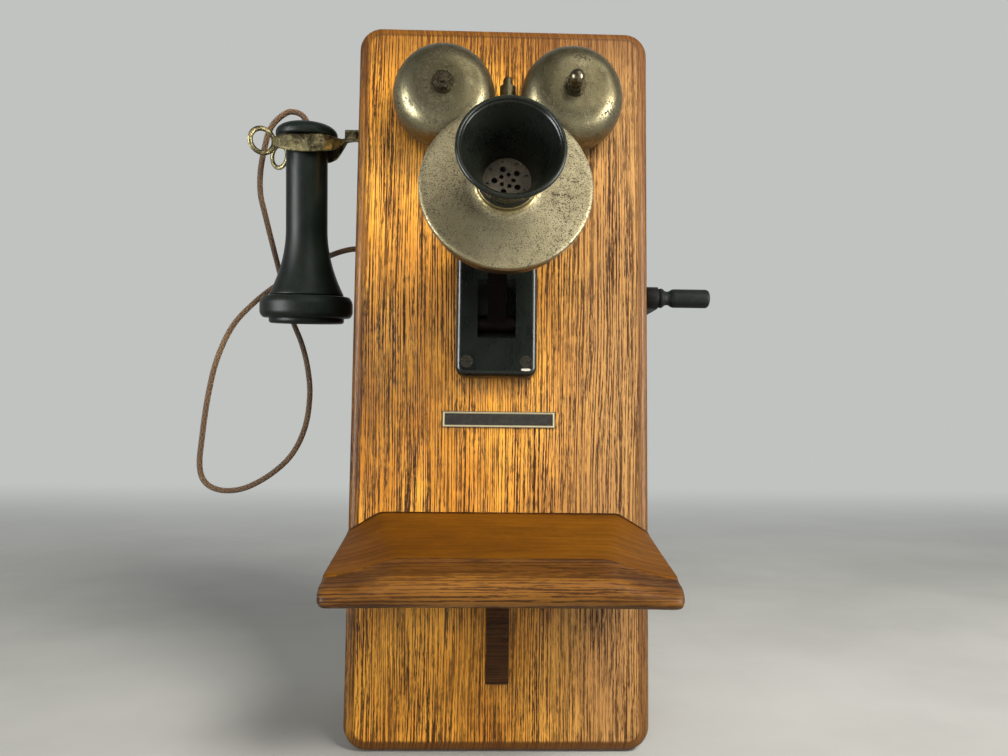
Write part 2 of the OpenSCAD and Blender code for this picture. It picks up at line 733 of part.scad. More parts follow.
module crank_handle() color("dimgray")
    translate([handle_x, crank_y - crank_l, crank_z]) rotate([0, 90, 0]) rotate_extrude() {
        bore = spindle_d / 2 + fit;
        collar_l = 4.5;
        neck_l = 9.5;
        polygon([
            [bore, 0], [handle_collar_r - 1.2, 0], [handle_collar_r, 1.2], [handle_collar_r, collar_l - 1.2],
            [handle_collar_r - 1.2, collar_l], [handle_neck_r, collar_l + 1.4],
            [handle_neck_r, neck_l - 1.6], [handle_d / 2 - 1, neck_l], [handle_d / 2, neck_l + 1.2],
            [handle_d / 2, handle_l - 1.5], [handle_d / 2 - 1.5, handle_l], [bore, handle_l]]);
    }

// Coil, condenser, terminals and cells on the back board and the floor
coil_x = 28;
coil_drop = 93.5;
coil_z = half_h - coil_drop;
coil_y = -back_t - cheek_w / 2;
cheek_t = 6;
module coil_bobbin() color("saddlebrown") {
    for (s = [-1, 1]) translate([coil_x + s * (coil_l - cheek_t) / 2, coil_y, coil_z])
        cube([cheek_t, cheek_w, cheek_w], center = true);
    rod_x([coil_x - coil_l / 2, coil_y, coil_z], coil_d / 4, coil_l);
}
module coil_winding() color("darkgreen") difference() {
    rod_x([coil_x - coil_l / 2 + cheek_t, coil_y, coil_z], coil_d / 2, coil_l - 2 * cheek_t);
    rod_x([coil_x - coil_l / 2, coil_y, coil_z], coil_d / 4, coil_l);
}

condenser_w = 44;
condenser_d = 24;
condenser_h = 56;
condenser_in = 7.5;
condenser_drop = 125.5;
condenser_x = condenser_in - in_x;
condenser_z = half_h - condenser_drop;
module condenser() color("silver")
    block([condenser_x, -back_t - condenser_d, condenser_z],
        [condenser_x + condenser_w, -back_t, condenser_z + condenser_h]);

strip_w = 110;
strip_h = 20;
strip_t = 9;
strip_z = in_z - 12;
posts = 5;
post_d = 8;
post_h = 13;
module terminal_strip() color("burlywood")
    block([-strip_w / 2, -back_t - strip_t, strip_z - strip_h], [strip_w / 2, -back_t, strip_z]);
module terminal_posts() color("goldenrod") for (i = [0 : posts - 1])
    translate([(i - (posts - 1) / 2) * strip_w / (posts + 0.5), -back_t - strip_t, strip_z - strip_h / 2])
        rotate([90, 0, 0]) {
            cylinder(d = post_d, h = post_h / 3);
            cylinder(d = post_d / 2, h = post_h);
            translate([0, 0, post_h / 2]) cylinder(d = post_d, h = post_h / 3);
        }

cell_gap = 6;
cell_back = 2;
cell_y = -back_t - cell_back - cell_d / 2;
cell_post_d = 6;
cell_post_h = 12;
module dry_cells() color("firebrick") for (s = [-1, 1])
    translate([s * (cell_d + cell_gap) / 2, cell_y, -in_z]) {
        cylinder(d = cell_d, h = cell_h);
        translate([0, 0, cell_h]) cylinder(d = cell_post_d, h = cell_post_h);
        translate([0, -cell_d / 2 + cell_post_d, cell_h]) cylinder(d = cell_post_d, h = cell_post_h);
    }
cleat_h = 16;
cleat_t = 10;
module battery_cleat() color("burlywood")
    block([-in_x, cell_y - cell_d / 2 - 1 - cleat_t, -in_z], [in_x, cell_y - cell_d / 2 - 1, cleat_h - in_z]);

catch_z = -50;
catch_w = 12;
catch_h = 20;
catch_l = 16;
strike_gap = 3;
strike_w = 6;
strike_l = 14;
module door_catch() color("goldenrod")
    block([in_x - catch_w, door_back + 4, catch_z - catch_h / 2],
        [in_x, door_back + 4 + catch_l, catch_z + catch_h / 2]);
module door_strike() color("goldenrod") {
    rod_y([in_x - catch_w - strike_gap - strike_w / 2, door_back, catch_z], strike_w / 2, strike_l);
    rod_y([in_x - catch_w - strike_gap - strike_w / 2, door_back, catch_z], strike_w, leaf_t);
}

// Receiver cord in two stretches: one hangs from the receiver, one from the case
path = smooth(CORD, cord_steps);
cord_split = (len(CORD_UP) - 1) * cord_steps;
module cord_upper() color("saddlebrown") tube(path, 0, cord_split, cord_d / 2, cord_sides);
module cord_lower() color("saddlebrown") tube(path, cord_split, len(path) - 1, cord_d / 2, cord_sides);

// Switch hook: lever in the case, fork with rings outside
tail_l = 22;
hub_side = 0.25;
module hook_lever() color("darkkhaki") difference() {
    union() {
        block([lever_end, hook_y - lever_t / 2, lever_z - lever_h / 2],
            [pivot_x + tail_l, hook_y + lever_t / 2, lever_z + lever_h / 2]);
        rod_y([pivot_x, hook_y - cheek_gap / 2 + hub_side, lever_z],
            lever_h / 2 + 2, cheek_gap - 2 * hub_side);
    }
    rod_y([pivot_x, hook_y - cheek_gap, lever_z], pivot_d / 2 + fit, 2 * cheek_gap);
}

// Plan of one prong: along the lever, out in a curve, past the barrel
prong_bend = 15;
prong_steps = 8;
strap_l = 16;
prong_start = lever_end + 9;
function prong_off(t) =
    (lever_t + prong_t) / 2 + (prong_mid - (lever_t + prong_t) / 2) * (1 - cos(180 * t)) / 2;
module prong_plan(side) {
    inner = prong_t / 2;
    bend = [for (i = [0 : prong_steps])
        [lever_end - prong_bend * i / prong_steps, prong_off(i / prong_steps)]];
    line = concat([[prong_start, prong_off(0)]], bend, [[ring_neck_x, prong_mid]]);
    polygon(concat([for (p = line) [p.x, side * (p.y + inner)]],
        [for (i = [len(line) - 1 : -1 : 0]) [line[i].x, side * (line[i].y - inner)]]));
}
ring_neck_x = ring_x + ring_d / 2 - 2;
module prong_side() polygon([
    [prong_start, lever_z - lever_h / 2 + 0.4], [prong_start, lever_z + lever_h / 2 - 1],
    [lever_end, prong_z + prong_h / 2], [ring_neck_x, prong_z + prong_h / 2 - 1.5],
    [ring_neck_x, prong_z - prong_h / 2 + 1.5], [lever_end - prong_bend, prong_z - prong_h / 2],
    [lever_end - 10, prong_z - prong_h / 2 + 0.6], [lever_end - 5, prong_z - prong_h / 2 + 2.4],
    [lever_end - 2, lever_z - lever_h / 2 - 4.5], [lever_end + 1, lever_z - lever_h / 2 + 0.2]]);
module hang()
    translate([0, hook_y, lever_z]) rotate([hang_lean, 0, 0]) translate([0, -hook_y, -lever_z]) children();
module prong(side) {
    translate([0, hook_y, 0]) intersection() {
        translate([0, 0, prong_z - prong_h]) linear_extrude(2 * prong_h) prong_plan(side);
        translate([0, prong_mid * 2, 0]) rotate([90, 0, 0]) linear_extrude(4 * prong_mid) prong_side();
    }
    translate([ring_neck_x, hook_y + side * prong_mid, 0]) rotate([0, 0, -side * ring_turn])
        translate([-ring_d / 2 + 1.2, prong_t / 2, ring_z]) rotate([90, 0, 0])
            linear_extrude(prong_t) difference() {
                circle(d = ring_d);
                circle(d = ring_hole_d);
            }
}
module hook_prongs() color("darkkhaki") difference() {
    hang() for (side = [-1, 1]) prong(side);
    block([lever_end, hook_y - lever_t / 2, lever_z - lever_h],
        [prong_start + 1, hook_y + lever_t / 2, lever_z + lever_h]);
}

// Receiver: turned shell, ear cap and diaphragm
flare_steps = 8;
flange_edge = 3.6;
tail_r = 7;
dome_steps = 6;
module receiver_shell() color("#1c211f") hang() translate([-receiver_x, rec_y, 0]) difference() {
    rotate_extrude() polygon(concat(
        [[0, ear_z], [mouth_d / 2, ear_z]],
        [for (i = [0 : flare_steps]) let (t = 1 - i / flare_steps)
            [barrel_d / 2 + (mouth_d - barrel_d) / 2 * pow(t, 2), ear_z + 2 + flare_l * i / flare_steps]],
        [[barrel_d / 2, flange_z], [flange_d / 2 - 1, flange_z], [flange_d / 2, flange_z + 1],
            [flange_d / 2, flange_z + flange_edge]],
        [for (i = [1 : dome_steps]) let (a = 90 * i / dome_steps)
            [tail_r + (flange_d / 2 - tail_r) * cos(a),
                flange_z + flange_edge + (flange_h - flange_edge) * sin(a)]],
        [[0, flange_z + flange_h]]));
    translate([0, 0, flange_z + flange_h - cord_socket + 0.8])
        cylinder(d = cord_d + 2 * fit, h = 2 * cord_socket);
}

dish_steps = 6;
ear_round = 4;
ear_step_h = 4;
module receiver_cap() color("#15181a") hang() translate([-receiver_x, rec_y, 0]) rotate_extrude() {
    dish_r = ear_lip_d / 2 - 4;
    hole_r = ear_hole_d / 2;
    cavity_r = mouth_d / 2 - 2;
    polygon(concat(
        [for (i = [0 : dish_steps]) let (r = hole_r + (dish_r - hole_r) * i / dish_steps)
            [r, ear_bottom + ear_dish_h * (1 - pow((r - hole_r) / (dish_r - hole_r), 2))]],
        [[ear_lip_d / 2 - 1.5, ear_bottom], [ear_lip_d / 2, ear_bottom + 1.5],
            [ear_lip_d / 2, ear_bottom + ear_step_h], [ear_d / 2 - 1.2, ear_bottom + ear_step_h]],
        [[ear_d / 2, ear_bottom + ear_step_h + 1.2]],
        [for (i = [0 : dome_steps]) let (a = 90 * i / dome_steps)
            [ear_d / 2 - ear_round + ear_round * cos(a), ear_z - ear_round + ear_round * sin(a)]],
        [[cavity_r, ear_z], [cavity_r, ear_bottom + ear_dish_h + 4], [hole_r, ear_bottom + ear_dish_h + 4]]));
}

diaphragm_t = 1;
module receiver_diaphragm() color("silver") hang()
    translate([-receiver_x, rec_y, ear_z - diaphragm_t]) cylinder(r = mouth_d / 2 - 2.4, h = diaphragm_t);

// Door with a moulded edge, a slot for the clapper and hinge recesses
slot_w = 11;
slot_h = 9;
module door() color("chocolate") difference() {
    translate([0, door_back, 0]) rotate([90, 0, 0])
        thumb_panel(door_w, door_h, door_t, door_corner_r, door_edge_r, door_step);
    block([gong_x - slot_w / 2, door_front - 1, clapper_turn_z - slot_h / 2],
        [gong_x + slot_w / 2, door_back + 1, clapper_turn_z + slot_h / 2]);
    for (sz = [-1, 1])
        block([-door_w, door_back - leaf_t, sz * hinge_z - knuckle_l / 2],
            [hinge_x + leaf_w, door_back + 1, sz * hinge_z + knuckle_l / 2]);
}

// Gongs on posts, with nuts
gong_steps = 12;
crown_flat = 8;
function gong_curve(r, h) = concat([for (i = [0 : gong_steps]) let (a = 90 * i / gong_steps)
    [crown_flat + (r - crown_flat) * pow(cos(a), 0.62), h * pow(sin(a), 0.8)]], [[0, h]]);
module gong(x) turn_front([x, gong_rim_y, gong_z]) difference() {
    polygon(concat([[0, 0]], gong_curve(gong_r, gong_h)));
    polygon(concat([[0, -1], [gong_r - gong_wall, -1]], gong_curve(gong_r - gong_wall, gong_h - gong_wall)));
    translate([0, -1]) square([gong_screw_d / 2, gong_h + 2]);
}
module gong_left() color("#a9a583") gong(gong_x - gong_pitch / 2);
module gong_right() color("#a9a583") gong(gong_x + gong_pitch / 2);

foot_r = 9;
foot_h = 3;
washer_d = 15;
washer_h = 1.2;
screw_end = 2;
acorn_d = 10;
acorn_h = 12;
module gong_posts() color("#8d8a70") for (s = [-1, 1])
    translate([gong_x + s * gong_pitch / 2, door_front, gong_z]) rotate([90, 0, 0]) {
        cylinder(r = foot_r, h = foot_h);
        cylinder(d = gong_post_d, h = gong_gap + gong_h - gong_wall);
        cylinder(d = gong_screw_d, h = gong_gap + gong_h + washer_h + gong_nut_h + screw_end);
        translate([0, 0, gong_gap + gong_h]) {
            cylinder(d = washer_d, h = washer_h);
            cylinder(d = gong_nut_d, h = washer_h + gong_nut_h, $fn = 6);
            if (s > 0) {
                cylinder(d = acorn_d, h = acorn_h);
                translate([0, 0, acorn_h]) sphere(d = acorn_d);
            }
        }
    }

// Ringer inside the door: frame with yoke and pivot, coils, magnet and the swinging clapper
ringer_plate_up = 11;
ringer_plate_top = ringer_axis_z + ringer_plate_up;
module ringer_frame() color("dimgray") {
    block([gong_x - ringer_half, door_back, coil_z0 - yoke_t],
        [gong_x + ringer_half, door_back + ringer_plate_t, ringer_plate_top]);
    block([gong_x - ringer_half, door_back, coil_z0 - yoke_t],
        [gong_x + ringer_half, ringer_y + coil_r + 2, coil_z0]);
    rod_y([gong_x, door_back, ringer_axis_z], clapper_pin_d / 2, ringer_y - door_back + armature_w / 2 + 2);
}
module ringer_coils() color("darkred") for (s = [-1, 1])
    translate([gong_x + s * coil_half, ringer_y, coil_z0]) {
    cylinder(r = coil_r, h = coil_top - coil_z0 - 2);
    cylinder(r = core_r, h = coil_top - coil_z0);
}
ringer_magnet_w = 14;
ringer_magnet_t = 6;
module ringer_magnet() color("firebrick")
    block([gong_x - ringer_magnet_w / 2, ringer_y + coil_r + 2, coil_z0 - yoke_t],
        [gong_x + ringer_magnet_w / 2, ringer_y + coil_r + 2 + ringer_magnet_t, ringer_plate_top]);

hammer_tip_d = 6.6;
hammer_tip_h = 7.4;
module clapper() color("#9c9a84") {
    difference() {
        union() {
            block([gong_x - armature_half, ringer_y - armature_w / 2, ringer_axis_z - armature_t / 2],
                [gong_x + armature_half, ringer_y + armature_w / 2, ringer_axis_z + armature_t / 2]);
            rod_y([gong_x, ringer_y - armature_w / 2, ringer_axis_z], clapper_hub_r, armature_w);
        }
        rod_y([gong_x, ringer_y - armature_w, ringer_axis_z], clapper_pin_d / 2 + fit, 2 * armature_w);
    }
    rod_z([gong_x, ringer_y, ringer_axis_z + clapper_hub_r - 1], clapper_d / 2,
        clapper_turn_z - ringer_axis_z - clapper_hub_r + 1);
    rod_y([gong_x, clapper_y, clapper_turn_z], clapper_d / 2, ringer_y - clapper_y);
    for (y = [ringer_y, clapper_y]) translate([gong_x, y, clapper_turn_z]) sphere(d = clapper_d);
    rod_z([gong_x, clapper_y, clapper_turn_z], clapper_d / 2, hammer_z - clapper_turn_z);
    rod_z([gong_x, clapper_y, hammer_z - hammer_h / 2], hammer_d / 2, hammer_h);
    rod_z([gong_x, clapper_y, hammer_z], hammer_tip_d / 2, hammer_h / 2 + hammer_tip_h - hammer_tip_d / 2);
    translate([gong_x, clapper_y, hammer_z + hammer_h / 2 + hammer_tip_h - hammer_tip_d / 2])
        sphere(d = hammer_tip_d);
}

// Writing shelf: a sloping board with a rounded lip and sloping ends, on a coved bracket
shelf_corner_r = 9;
nose_run = 10.5;
nose_drop = 4.2;
nose_p = shelf_reach + nose_run;
module shelf_section() {
    polygon([[-shelf_t, 0], [-shelf_t, -shelf_t], [nose_p, -shelf_t], [nose_p, -nose_drop],
        [shelf_reach + 1.5, -nose_drop / 2], [shelf_reach, 0]]);
    translate([nose_p, -nose_drop - shelf_lip_r]) circle(shelf_lip_r);
}
module shelf_front() polygon([
    [-shelf_w / 2, -2 * shelf_t], [shelf_w / 2, -2 * shelf_t], [shelf_w / 2, -shelf_bevel_h],
    [shelf_w / 2 - shelf_bevel_w, 0], [shelf_bevel_w - shelf_w / 2, 0], [-shelf_w / 2, -shelf_bevel_h]]);
module shelf_plan() {
    far = nose_p + shelf_lip_r;
    translate([-shelf_w / 2, -shelf_t]) square([shelf_w, far + shelf_t - shelf_corner_r]);
    translate([shelf_corner_r - shelf_w / 2, 0]) square([shelf_w - 2 * shelf_corner_r, far]);
    for (s = [-1, 1])
        translate([s * (shelf_w / 2 - shelf_corner_r), far - shelf_corner_r]) circle(shelf_corner_r);
}
module shelf() color("#7a4a1c") difference() {
    translate([0, door_front, shelf_z]) rotate([shelf_slope, 0, 0]) intersection() {
        translate([-shelf_w, 0, 0]) rotate([90, 0, 90]) mirror([1, 0, 0])
            linear_extrude(2 * shelf_w) shelf_section();
        translate([0, shelf_t, 0]) rotate([90, 0, 0]) linear_extrude(2 * shelf_w) shelf_front();
        translate([0, 0, -3 * shelf_t]) mirror([0, 1, 0]) linear_extrude(6 * shelf_t) shelf_plan();
    }
    block([-shelf_w, door_front, shelf_z - 3 * shelf_t],
        [shelf_w, door_front + 3 * shelf_t, shelf_z + 3 * shelf_t]);
}

cove_r = strut_reach - strut_foot;
strut_x = -0.5;
function shelf_under(p) = shelf_z - shelf_t / cos(shelf_slope) - p * tan(shelf_slope);
module shelf_bracket() color("#6d4218")
    translate([strut_x - strut_t / 2, door_front, 0]) rotate([90, 0, 90])
        linear_extrude(strut_t) mirror([1, 0, 0])
        difference() {
            polygon([[0, shelf_under(0)], [strut_reach, shelf_under(strut_reach)],
                [strut_reach, shelf_under(0) - strut_h], [0, shelf_under(0) - strut_h - strut_foot / 2]]);
            translate([strut_reach, shelf_under(strut_reach) - 2 - cove_r]) circle(cove_r);
            translate([strut_foot, shelf_under(0) - 2 * strut_h])
                square([strut_reach, 2 * strut_h + shelf_under(strut_reach) - 2 - cove_r - shelf_under(0)]);
        }

// Bare plate with a raised border
plate_t = 1.2;
plate_rim = 1.2;
module name_plate() color("#2a2622") difference() {
    block([-plate_w / 2 - 1, door_front - plate_t, plate_z - plate_h / 2],
        [plate_w / 2 - 1, door_front, plate_z + plate_h / 2]);
    block([plate_rim - plate_w / 2 - 1, door_front - plate_t - 1, plate_z - plate_h / 2 + plate_rim],
        [plate_w / 2 - 1 - plate_rim, door_front - plate_t + 0.5, plate_z + plate_h / 2 - plate_rim]);
}

// Transmitter bracket with a slot for the arm's knuckle
screw_in = 7.4;
screw_up = 10;
screw_d = 4;
screw_sink = 0.6;
bracket_edge_r = 4;
module at_bracket_screws() for (sx = [-1, 1])
    for (z = [bracket_z + screw_up, bracket_z + bracket_h - screw_up])
    translate([transmitter_x + sx * (bracket_w / 2 - screw_in), bracket_front, z])
        rotate([-90, 0, 0]) children();
module transmitter_bracket() color("#181c1a") difference() {
    translate([transmitter_x, door_front, bracket_z + bracket_h / 2]) rotate([90, 0, 0])
        thumb_panel(bracket_w, bracket_h, bracket_t, bracket_corner_r, bracket_edge_r, 0);
    block([transmitter_x - knuckle_w / 2 - slot_room, bracket_front - 1, pin_z - slot_down],
        [transmitter_x + knuckle_w / 2 + slot_room, door_front - slot_floor, pin_z + slot_up]);
    rod_x([transmitter_x - pin_l / 2, pin_y, pin_z], pin_d / 2, pin_l);
    at_bracket_screws() {
        translate([0, 0, -1]) cylinder(d = screw_d, h = bracket_t + 2);
        translate([0, 0, -1]) cylinder(d = screw_head_d, h = screw_head_h - screw_sink + 1);
    }
}
screw_head_h = 3;
module bracket_screws() color("#4a4636") at_bracket_screws() {
    translate([0, 0, -screw_sink]) difference() {
        cylinder(d = screw_head_d, h = screw_head_h);
        translate([-screw_head_d, -0.6, -1]) cube([2 * screw_head_d, 1.2, 2.2]);
    }
    translate([0, 0, screw_head_h - screw_sink])
        cylinder(d = screw_d, h = bracket_t - screw_head_h + screw_sink);
}
pin_l = knuckle_w + 16;
module bracket_pin() color("dimgray") rod_x([transmitter_x - pin_l / 2, pin_y, pin_z], pin_d / 2, pin_l);

// Transmitter: curved arm, cup, faceplate, mouthpiece and grille on one axis
module on_face()
    translate([transmitter_x + face_off, face_y, face_z]) rotate([90 - face_lean, 0, face_turn]) children();
face_t = 2.2;
face_roll = 5;
cup_r = face_d / 2 - 3;
cup_round = 9;
boss_r = 13;
boss_h = 5;
arm_steps = 8;
arm_root = [pin_y, pin_z];
arm_tip = [face_y + (cup_h + boss_h) * cos(face_lean), face_z - (cup_h + boss_h) * sin(face_lean)];
arm_bend = [pin_y + 0.55 * (arm_tip.x - pin_y), arm_tip.y - 2];
function arm_point(t) = (1 - t) * (1 - t) * arm_root + 2 * t * (1 - t) * arm_bend + t * t * arm_tip;
function arm_dir(t) = unit((1 - t) * (arm_bend - arm_root) + t * (arm_tip - arm_bend));
function arm_side(t, s) = let (d = arm_dir(t)) arm_point(t) + s * arm_t / 2 * [-d.y, d.x];
module transmitter_arm() color("#151815") difference() {
    union() {
        translate([transmitter_x - arm_w / 2, 0, 0]) rotate([90, 0, 90]) linear_extrude(arm_w)
            polygon(concat([for (i = [0 : arm_steps]) arm_side(i / arm_steps, 1)],
                [for (i = [arm_steps : -1 : 0]) arm_side(i / arm_steps, -1)]));
        rod_x([transmitter_x - knuckle_w / 2, pin_y, pin_z], knuckle_r, knuckle_w);
        on_face() translate([0, 0, -cup_h - boss_h]) cylinder(r = boss_r, h = boss_h);
    }
    rod_x([transmitter_x - knuckle_w, pin_y, pin_z], pin_d / 2 + fit, 2 * knuckle_w);
}

cup_wall = 3;
// Half section of a round-bottomed cup
module cup_section(r, h, e) {
    square([r - e, h]);
    translate([0, e]) square([r, h - e]);
    translate([r - e, e]) intersection() {
        circle(e);
        translate([0, -e]) square(e);
    }
}
module transmitter_cup() color("#1d1a16") on_face() translate([0, 0, -cup_h]) rotate_extrude() difference() {
    cup_section(cup_r, cup_h - face_t, cup_round);
    translate([0, cup_wall]) cup_section(cup_r - cup_wall, cup_h, cup_round - cup_wall);
}

module transmitter_face() color("#b9b294") on_face() rotate_extrude() difference() {
    polygon([[0, -face_t], [cup_r, -face_t], [cup_r, -face_roll], [face_d / 2 - 0.8, -face_roll],
        [face_d / 2, -face_roll + 0.8], [face_d / 2, -2.4], [face_d / 2 - 0.8, -0.8], [face_d / 2 - 2.6, 0],
        [neck_d / 2 + 3, 0], [neck_d / 2 + 1, 0.8], [neck_d / 2, 2.2], [neck_d / 2, neck_h], [0, neck_h]]);
    translate([0, neck_h - 2.2]) square([grille_d / 2, neck_h]);
}

horn_steps = 10;
lip_r = 1.7;
lip_steps = 6;
lip_sweep = 225;
horn_throat = grille_d / 2 - 1;
horn_curve = 1.7;
function horn_r(t) = horn_throat + (horn_rim_d / 2 - 2 * lip_r - horn_throat) * pow(t, horn_curve);
// Horn with a rolled lip: inside curve, round the lip, outside curve back to the neck
module mouthpiece() color("#12211d") on_face() translate([0, 0, neck_h]) rotate_extrude() polygon(concat(
    [for (i = [0 : horn_steps]) let (t = i / horn_steps) [horn_r(t), (horn_l - lip_r) * t]],
    [for (i = [1 : lip_steps]) let (a = 180 - lip_sweep * i / lip_steps)
        [horn_rim_d / 2 - lip_r + lip_r * cos(a), horn_l - lip_r + lip_r * sin(a)]],
    [for (i = [horn_steps - 2 : -1 : 0]) let (t = i / horn_steps)
        [horn_r(t) + horn_wall, (horn_l - lip_r) * t]]));

grille_t = 2.2;
hole_rings = [[5, 3.6, 1.2, 3], [5, 7, 1.7, 38], [8, 11.2, 1.1, 13]];
module mouthpiece_grille() color("#55514a") on_face() translate([0, 0, neck_h - grille_t]) difference() {
    cylinder(d = grille_d, h = grille_t);
    for (h = hole_rings) for (i = [0 : h[0] - 1]) rotate(h[3] + i * 360 / h[0])
        translate([h[1], 0, h[0] == hole_rings[2][0] ? grille_t / 2 : -1])
            cylinder(r = h[2], h = 2 * grille_t);
}

backboard();
side_left();
side_right();
case_top();
case_bottom();
generator_shelf();
hinge_leaves_case();
hinge_pins();
cord_bushing();
crank_bushing();
hook_frame();
hook_pin();
contact_springs();
generator_frame();
horseshoe_magnets();
pole_shoes();
coil_bobbin();
coil_winding();
condenser();
terminal_strip();
terminal_posts();
dry_cells();
battery_cleat();
door_catch();
cord_lower();
crank_shaft();
drive_gear();
crank_arm();
crank_handle();
armature_core();
armature_winding();
armature_pinion();
hook_lever();
hook_prongs();
receiver_shell();
receiver_cap();
receiver_diaphragm();
cord_upper();
door();
hinge_leaves_door();
gong_left();
gong_right();
gong_posts();
ringer_frame();
ringer_coils();
ringer_magnet();
shelf();
shelf_bracket();
name_plate();
transmitter_bracket();
bracket_screws();
bracket_pin();
door_strike();
clapper();
transmitter_arm();
transmitter_cup();
transmitter_face();
mouthpiece();
mouthpiece_grille();
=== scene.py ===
import math

import bmesh
import bpy
from mathutils import Matrix, Vector


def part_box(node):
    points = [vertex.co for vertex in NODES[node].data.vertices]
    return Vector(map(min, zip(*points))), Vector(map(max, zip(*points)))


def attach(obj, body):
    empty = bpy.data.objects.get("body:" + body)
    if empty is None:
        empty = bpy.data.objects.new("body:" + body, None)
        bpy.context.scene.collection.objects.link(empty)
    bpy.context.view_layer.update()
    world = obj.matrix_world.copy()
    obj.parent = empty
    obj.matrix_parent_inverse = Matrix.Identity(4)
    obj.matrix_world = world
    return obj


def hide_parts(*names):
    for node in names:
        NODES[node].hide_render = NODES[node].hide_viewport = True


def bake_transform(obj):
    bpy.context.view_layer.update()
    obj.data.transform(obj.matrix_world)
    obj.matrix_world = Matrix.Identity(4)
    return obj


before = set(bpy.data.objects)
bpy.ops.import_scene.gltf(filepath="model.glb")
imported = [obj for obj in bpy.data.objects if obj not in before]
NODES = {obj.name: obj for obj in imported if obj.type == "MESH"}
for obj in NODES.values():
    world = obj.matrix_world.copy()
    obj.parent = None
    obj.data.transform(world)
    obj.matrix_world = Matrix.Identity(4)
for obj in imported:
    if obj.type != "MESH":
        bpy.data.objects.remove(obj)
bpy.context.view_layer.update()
MM = 0.001


def mm(*values):
    return Vector([v * MM for v in values])


# Materials, through a small wrapper over shader nodes
class Shader:
    def __init__(self, name):
        self.material = bpy.data.materials.new(name)
        self.material.use_nodes = True
        self.tree = self.material.node_tree
        self.bsdf = self.tree.nodes["Principled BSDF"]
        coords = self.add("ShaderNodeTexCoord")
        self.place = coords.outputs["Object"]
        self.uv = coords.outputs["UV"]

    def add(self, kind, **settings):
        node = self.tree.nodes.new(kind)
        for key, value in settings.items():
            setattr(node, key, value)
        return node

    def feed(self, socket, value):
        if isinstance(value, bpy.types.NodeSocket):
            self.tree.links.new(value, socket)
        else:
            socket.default_value = value

    def math(self, operation, a, b=0.0, c=0.0):
        node = self.add("ShaderNodeMath", operation=operation)
        for socket, value in zip(node.inputs, (a, b, c)):
            self.feed(socket, value)
        return node.outputs[0]

    def plus(self, a, b):
        return self.math("ADD", a, b)

    def times(self, a, b):
        return self.math("MULTIPLY", a, b)

    def split(self, vector):
        node = self.add("ShaderNodeSeparateXYZ")
        self.feed(node.inputs[0], vector)
        return node.outputs[0], node.outputs[1], node.outputs[2]

    def join(self, x, y, z):
        node = self.add("ShaderNodeCombineXYZ")
        for socket, value in zip(node.inputs, (x, y, z)):
            self.feed(socket, value)
        return node.outputs[0]

    def stretch(self, vector, scale):
        node = self.add("ShaderNodeVectorMath", operation="MULTIPLY")
        self.feed(node.inputs[0], vector)
        node.inputs[1].default_value = scale
        return node.outputs[0]

    def noise(self, vector, scale=1.0, detail=2.0, rough=0.5):
        node = self.add("ShaderNodeTexNoise")
        self.feed(node.inputs["Vector"], vector)
        node.inputs["Scale"].default_value = scale
        node.inputs["Detail"].default_value = detail
        node.inputs["Roughness"].default_value = rough
        return node.outputs["Fac"]

    def cells(self, vector, scale):
        node = self.add("ShaderNodeTexVoronoi")
        self.feed(node.inputs["Vector"], vector)
        node.inputs["Scale"].default_value = scale
        return node.outputs["Distance"]

    def span(self, value, low, high, start=0.0, end=1.0):
        node = self.add("ShaderNodeMapRange", interpolation_type="SMOOTHSTEP")
        for socket, v in zip(node.inputs, (value, low, high, start, end)):
            self.feed(socket, v)
        return node.outputs[0]

    def between(self, value, rise, fall):
        """One between two soft limits, and zero outside them."""
        return self.times(self.span(value, *rise), self.span(value, *fall, 1.0, 0.0))

    def mix(self, factor, a, b):
        node = self.add("ShaderNodeMix", data_type="RGBA")
        self.feed(node.inputs["Factor"], factor)
        for key, value in (("A", a), ("B", b)):
            socket = next(i for i in node.inputs if i.name == key and i.type == "RGBA")
            self.feed(socket, (*value, 1.0) if isinstance(value, tuple) else value)
        return next(o for o in node.outputs if o.type == "RGBA")

    def bump(self, height, depth):
        node = self.add("ShaderNodeBump")
        node.inputs["Strength"].default_value = 1.0
        node.inputs["Distance"].default_value = depth
        self.feed(node.inputs["Height"], height)
        self.feed(self.bsdf.inputs["Normal"], node.outputs[0])

    def set(self, **values):
        for key, value in values.items():
            value = (*value, 1.0) if isinstance(value, tuple) and len(value) == 3 else value
            self.feed(self.bsdf.inputs[key.replace("_", " ")], value)
        return self.material


def inside_rectangle(s, x, z, half_w, half_h, r):
    """How far a point is inside a rounded rectangle, as a negative number."""
    qx = s.math("SUBTRACT", s.math("ABSOLUTE", x), half_w - r)
    qz = s.math("SUBTRACT", s.math("ABSOLUTE", z), half_h - r)
    ox = s.math("MAXIMUM", qx, 0.0)
    oz = s.math("MAXIMUM", qz, 0.0)
    out = s.math("SQRT", s.plus(s.times(ox, ox), s.times(oz, oz)))
    inside = s.math("MINIMUM", s.math("MAXIMUM", qx, qz), 0.0)
    return s.math("SUBTRACT", s.plus(out, inside), r)


# Limits on the door's face, in metres: its planed edge, which takes painted shade, the quirk inside
# that, which takes a painted dark line of shade, its darker ends, where the edge's painted shade is
# deeper at the foot, and the right side, which takes a painted sheen
DOOR_RIM_SHADE = (-0.0084, -0.0066)
DOOR_QUIRK_SHADE = ((-0.0088, -0.0076), (-0.0072, -0.0060))
DOOR_FOOT = (-0.246, -0.232)
DOOR_HEAD = (0.196, 0.240)
DOOR_SHEEN_X = (-0.01, 0.085)


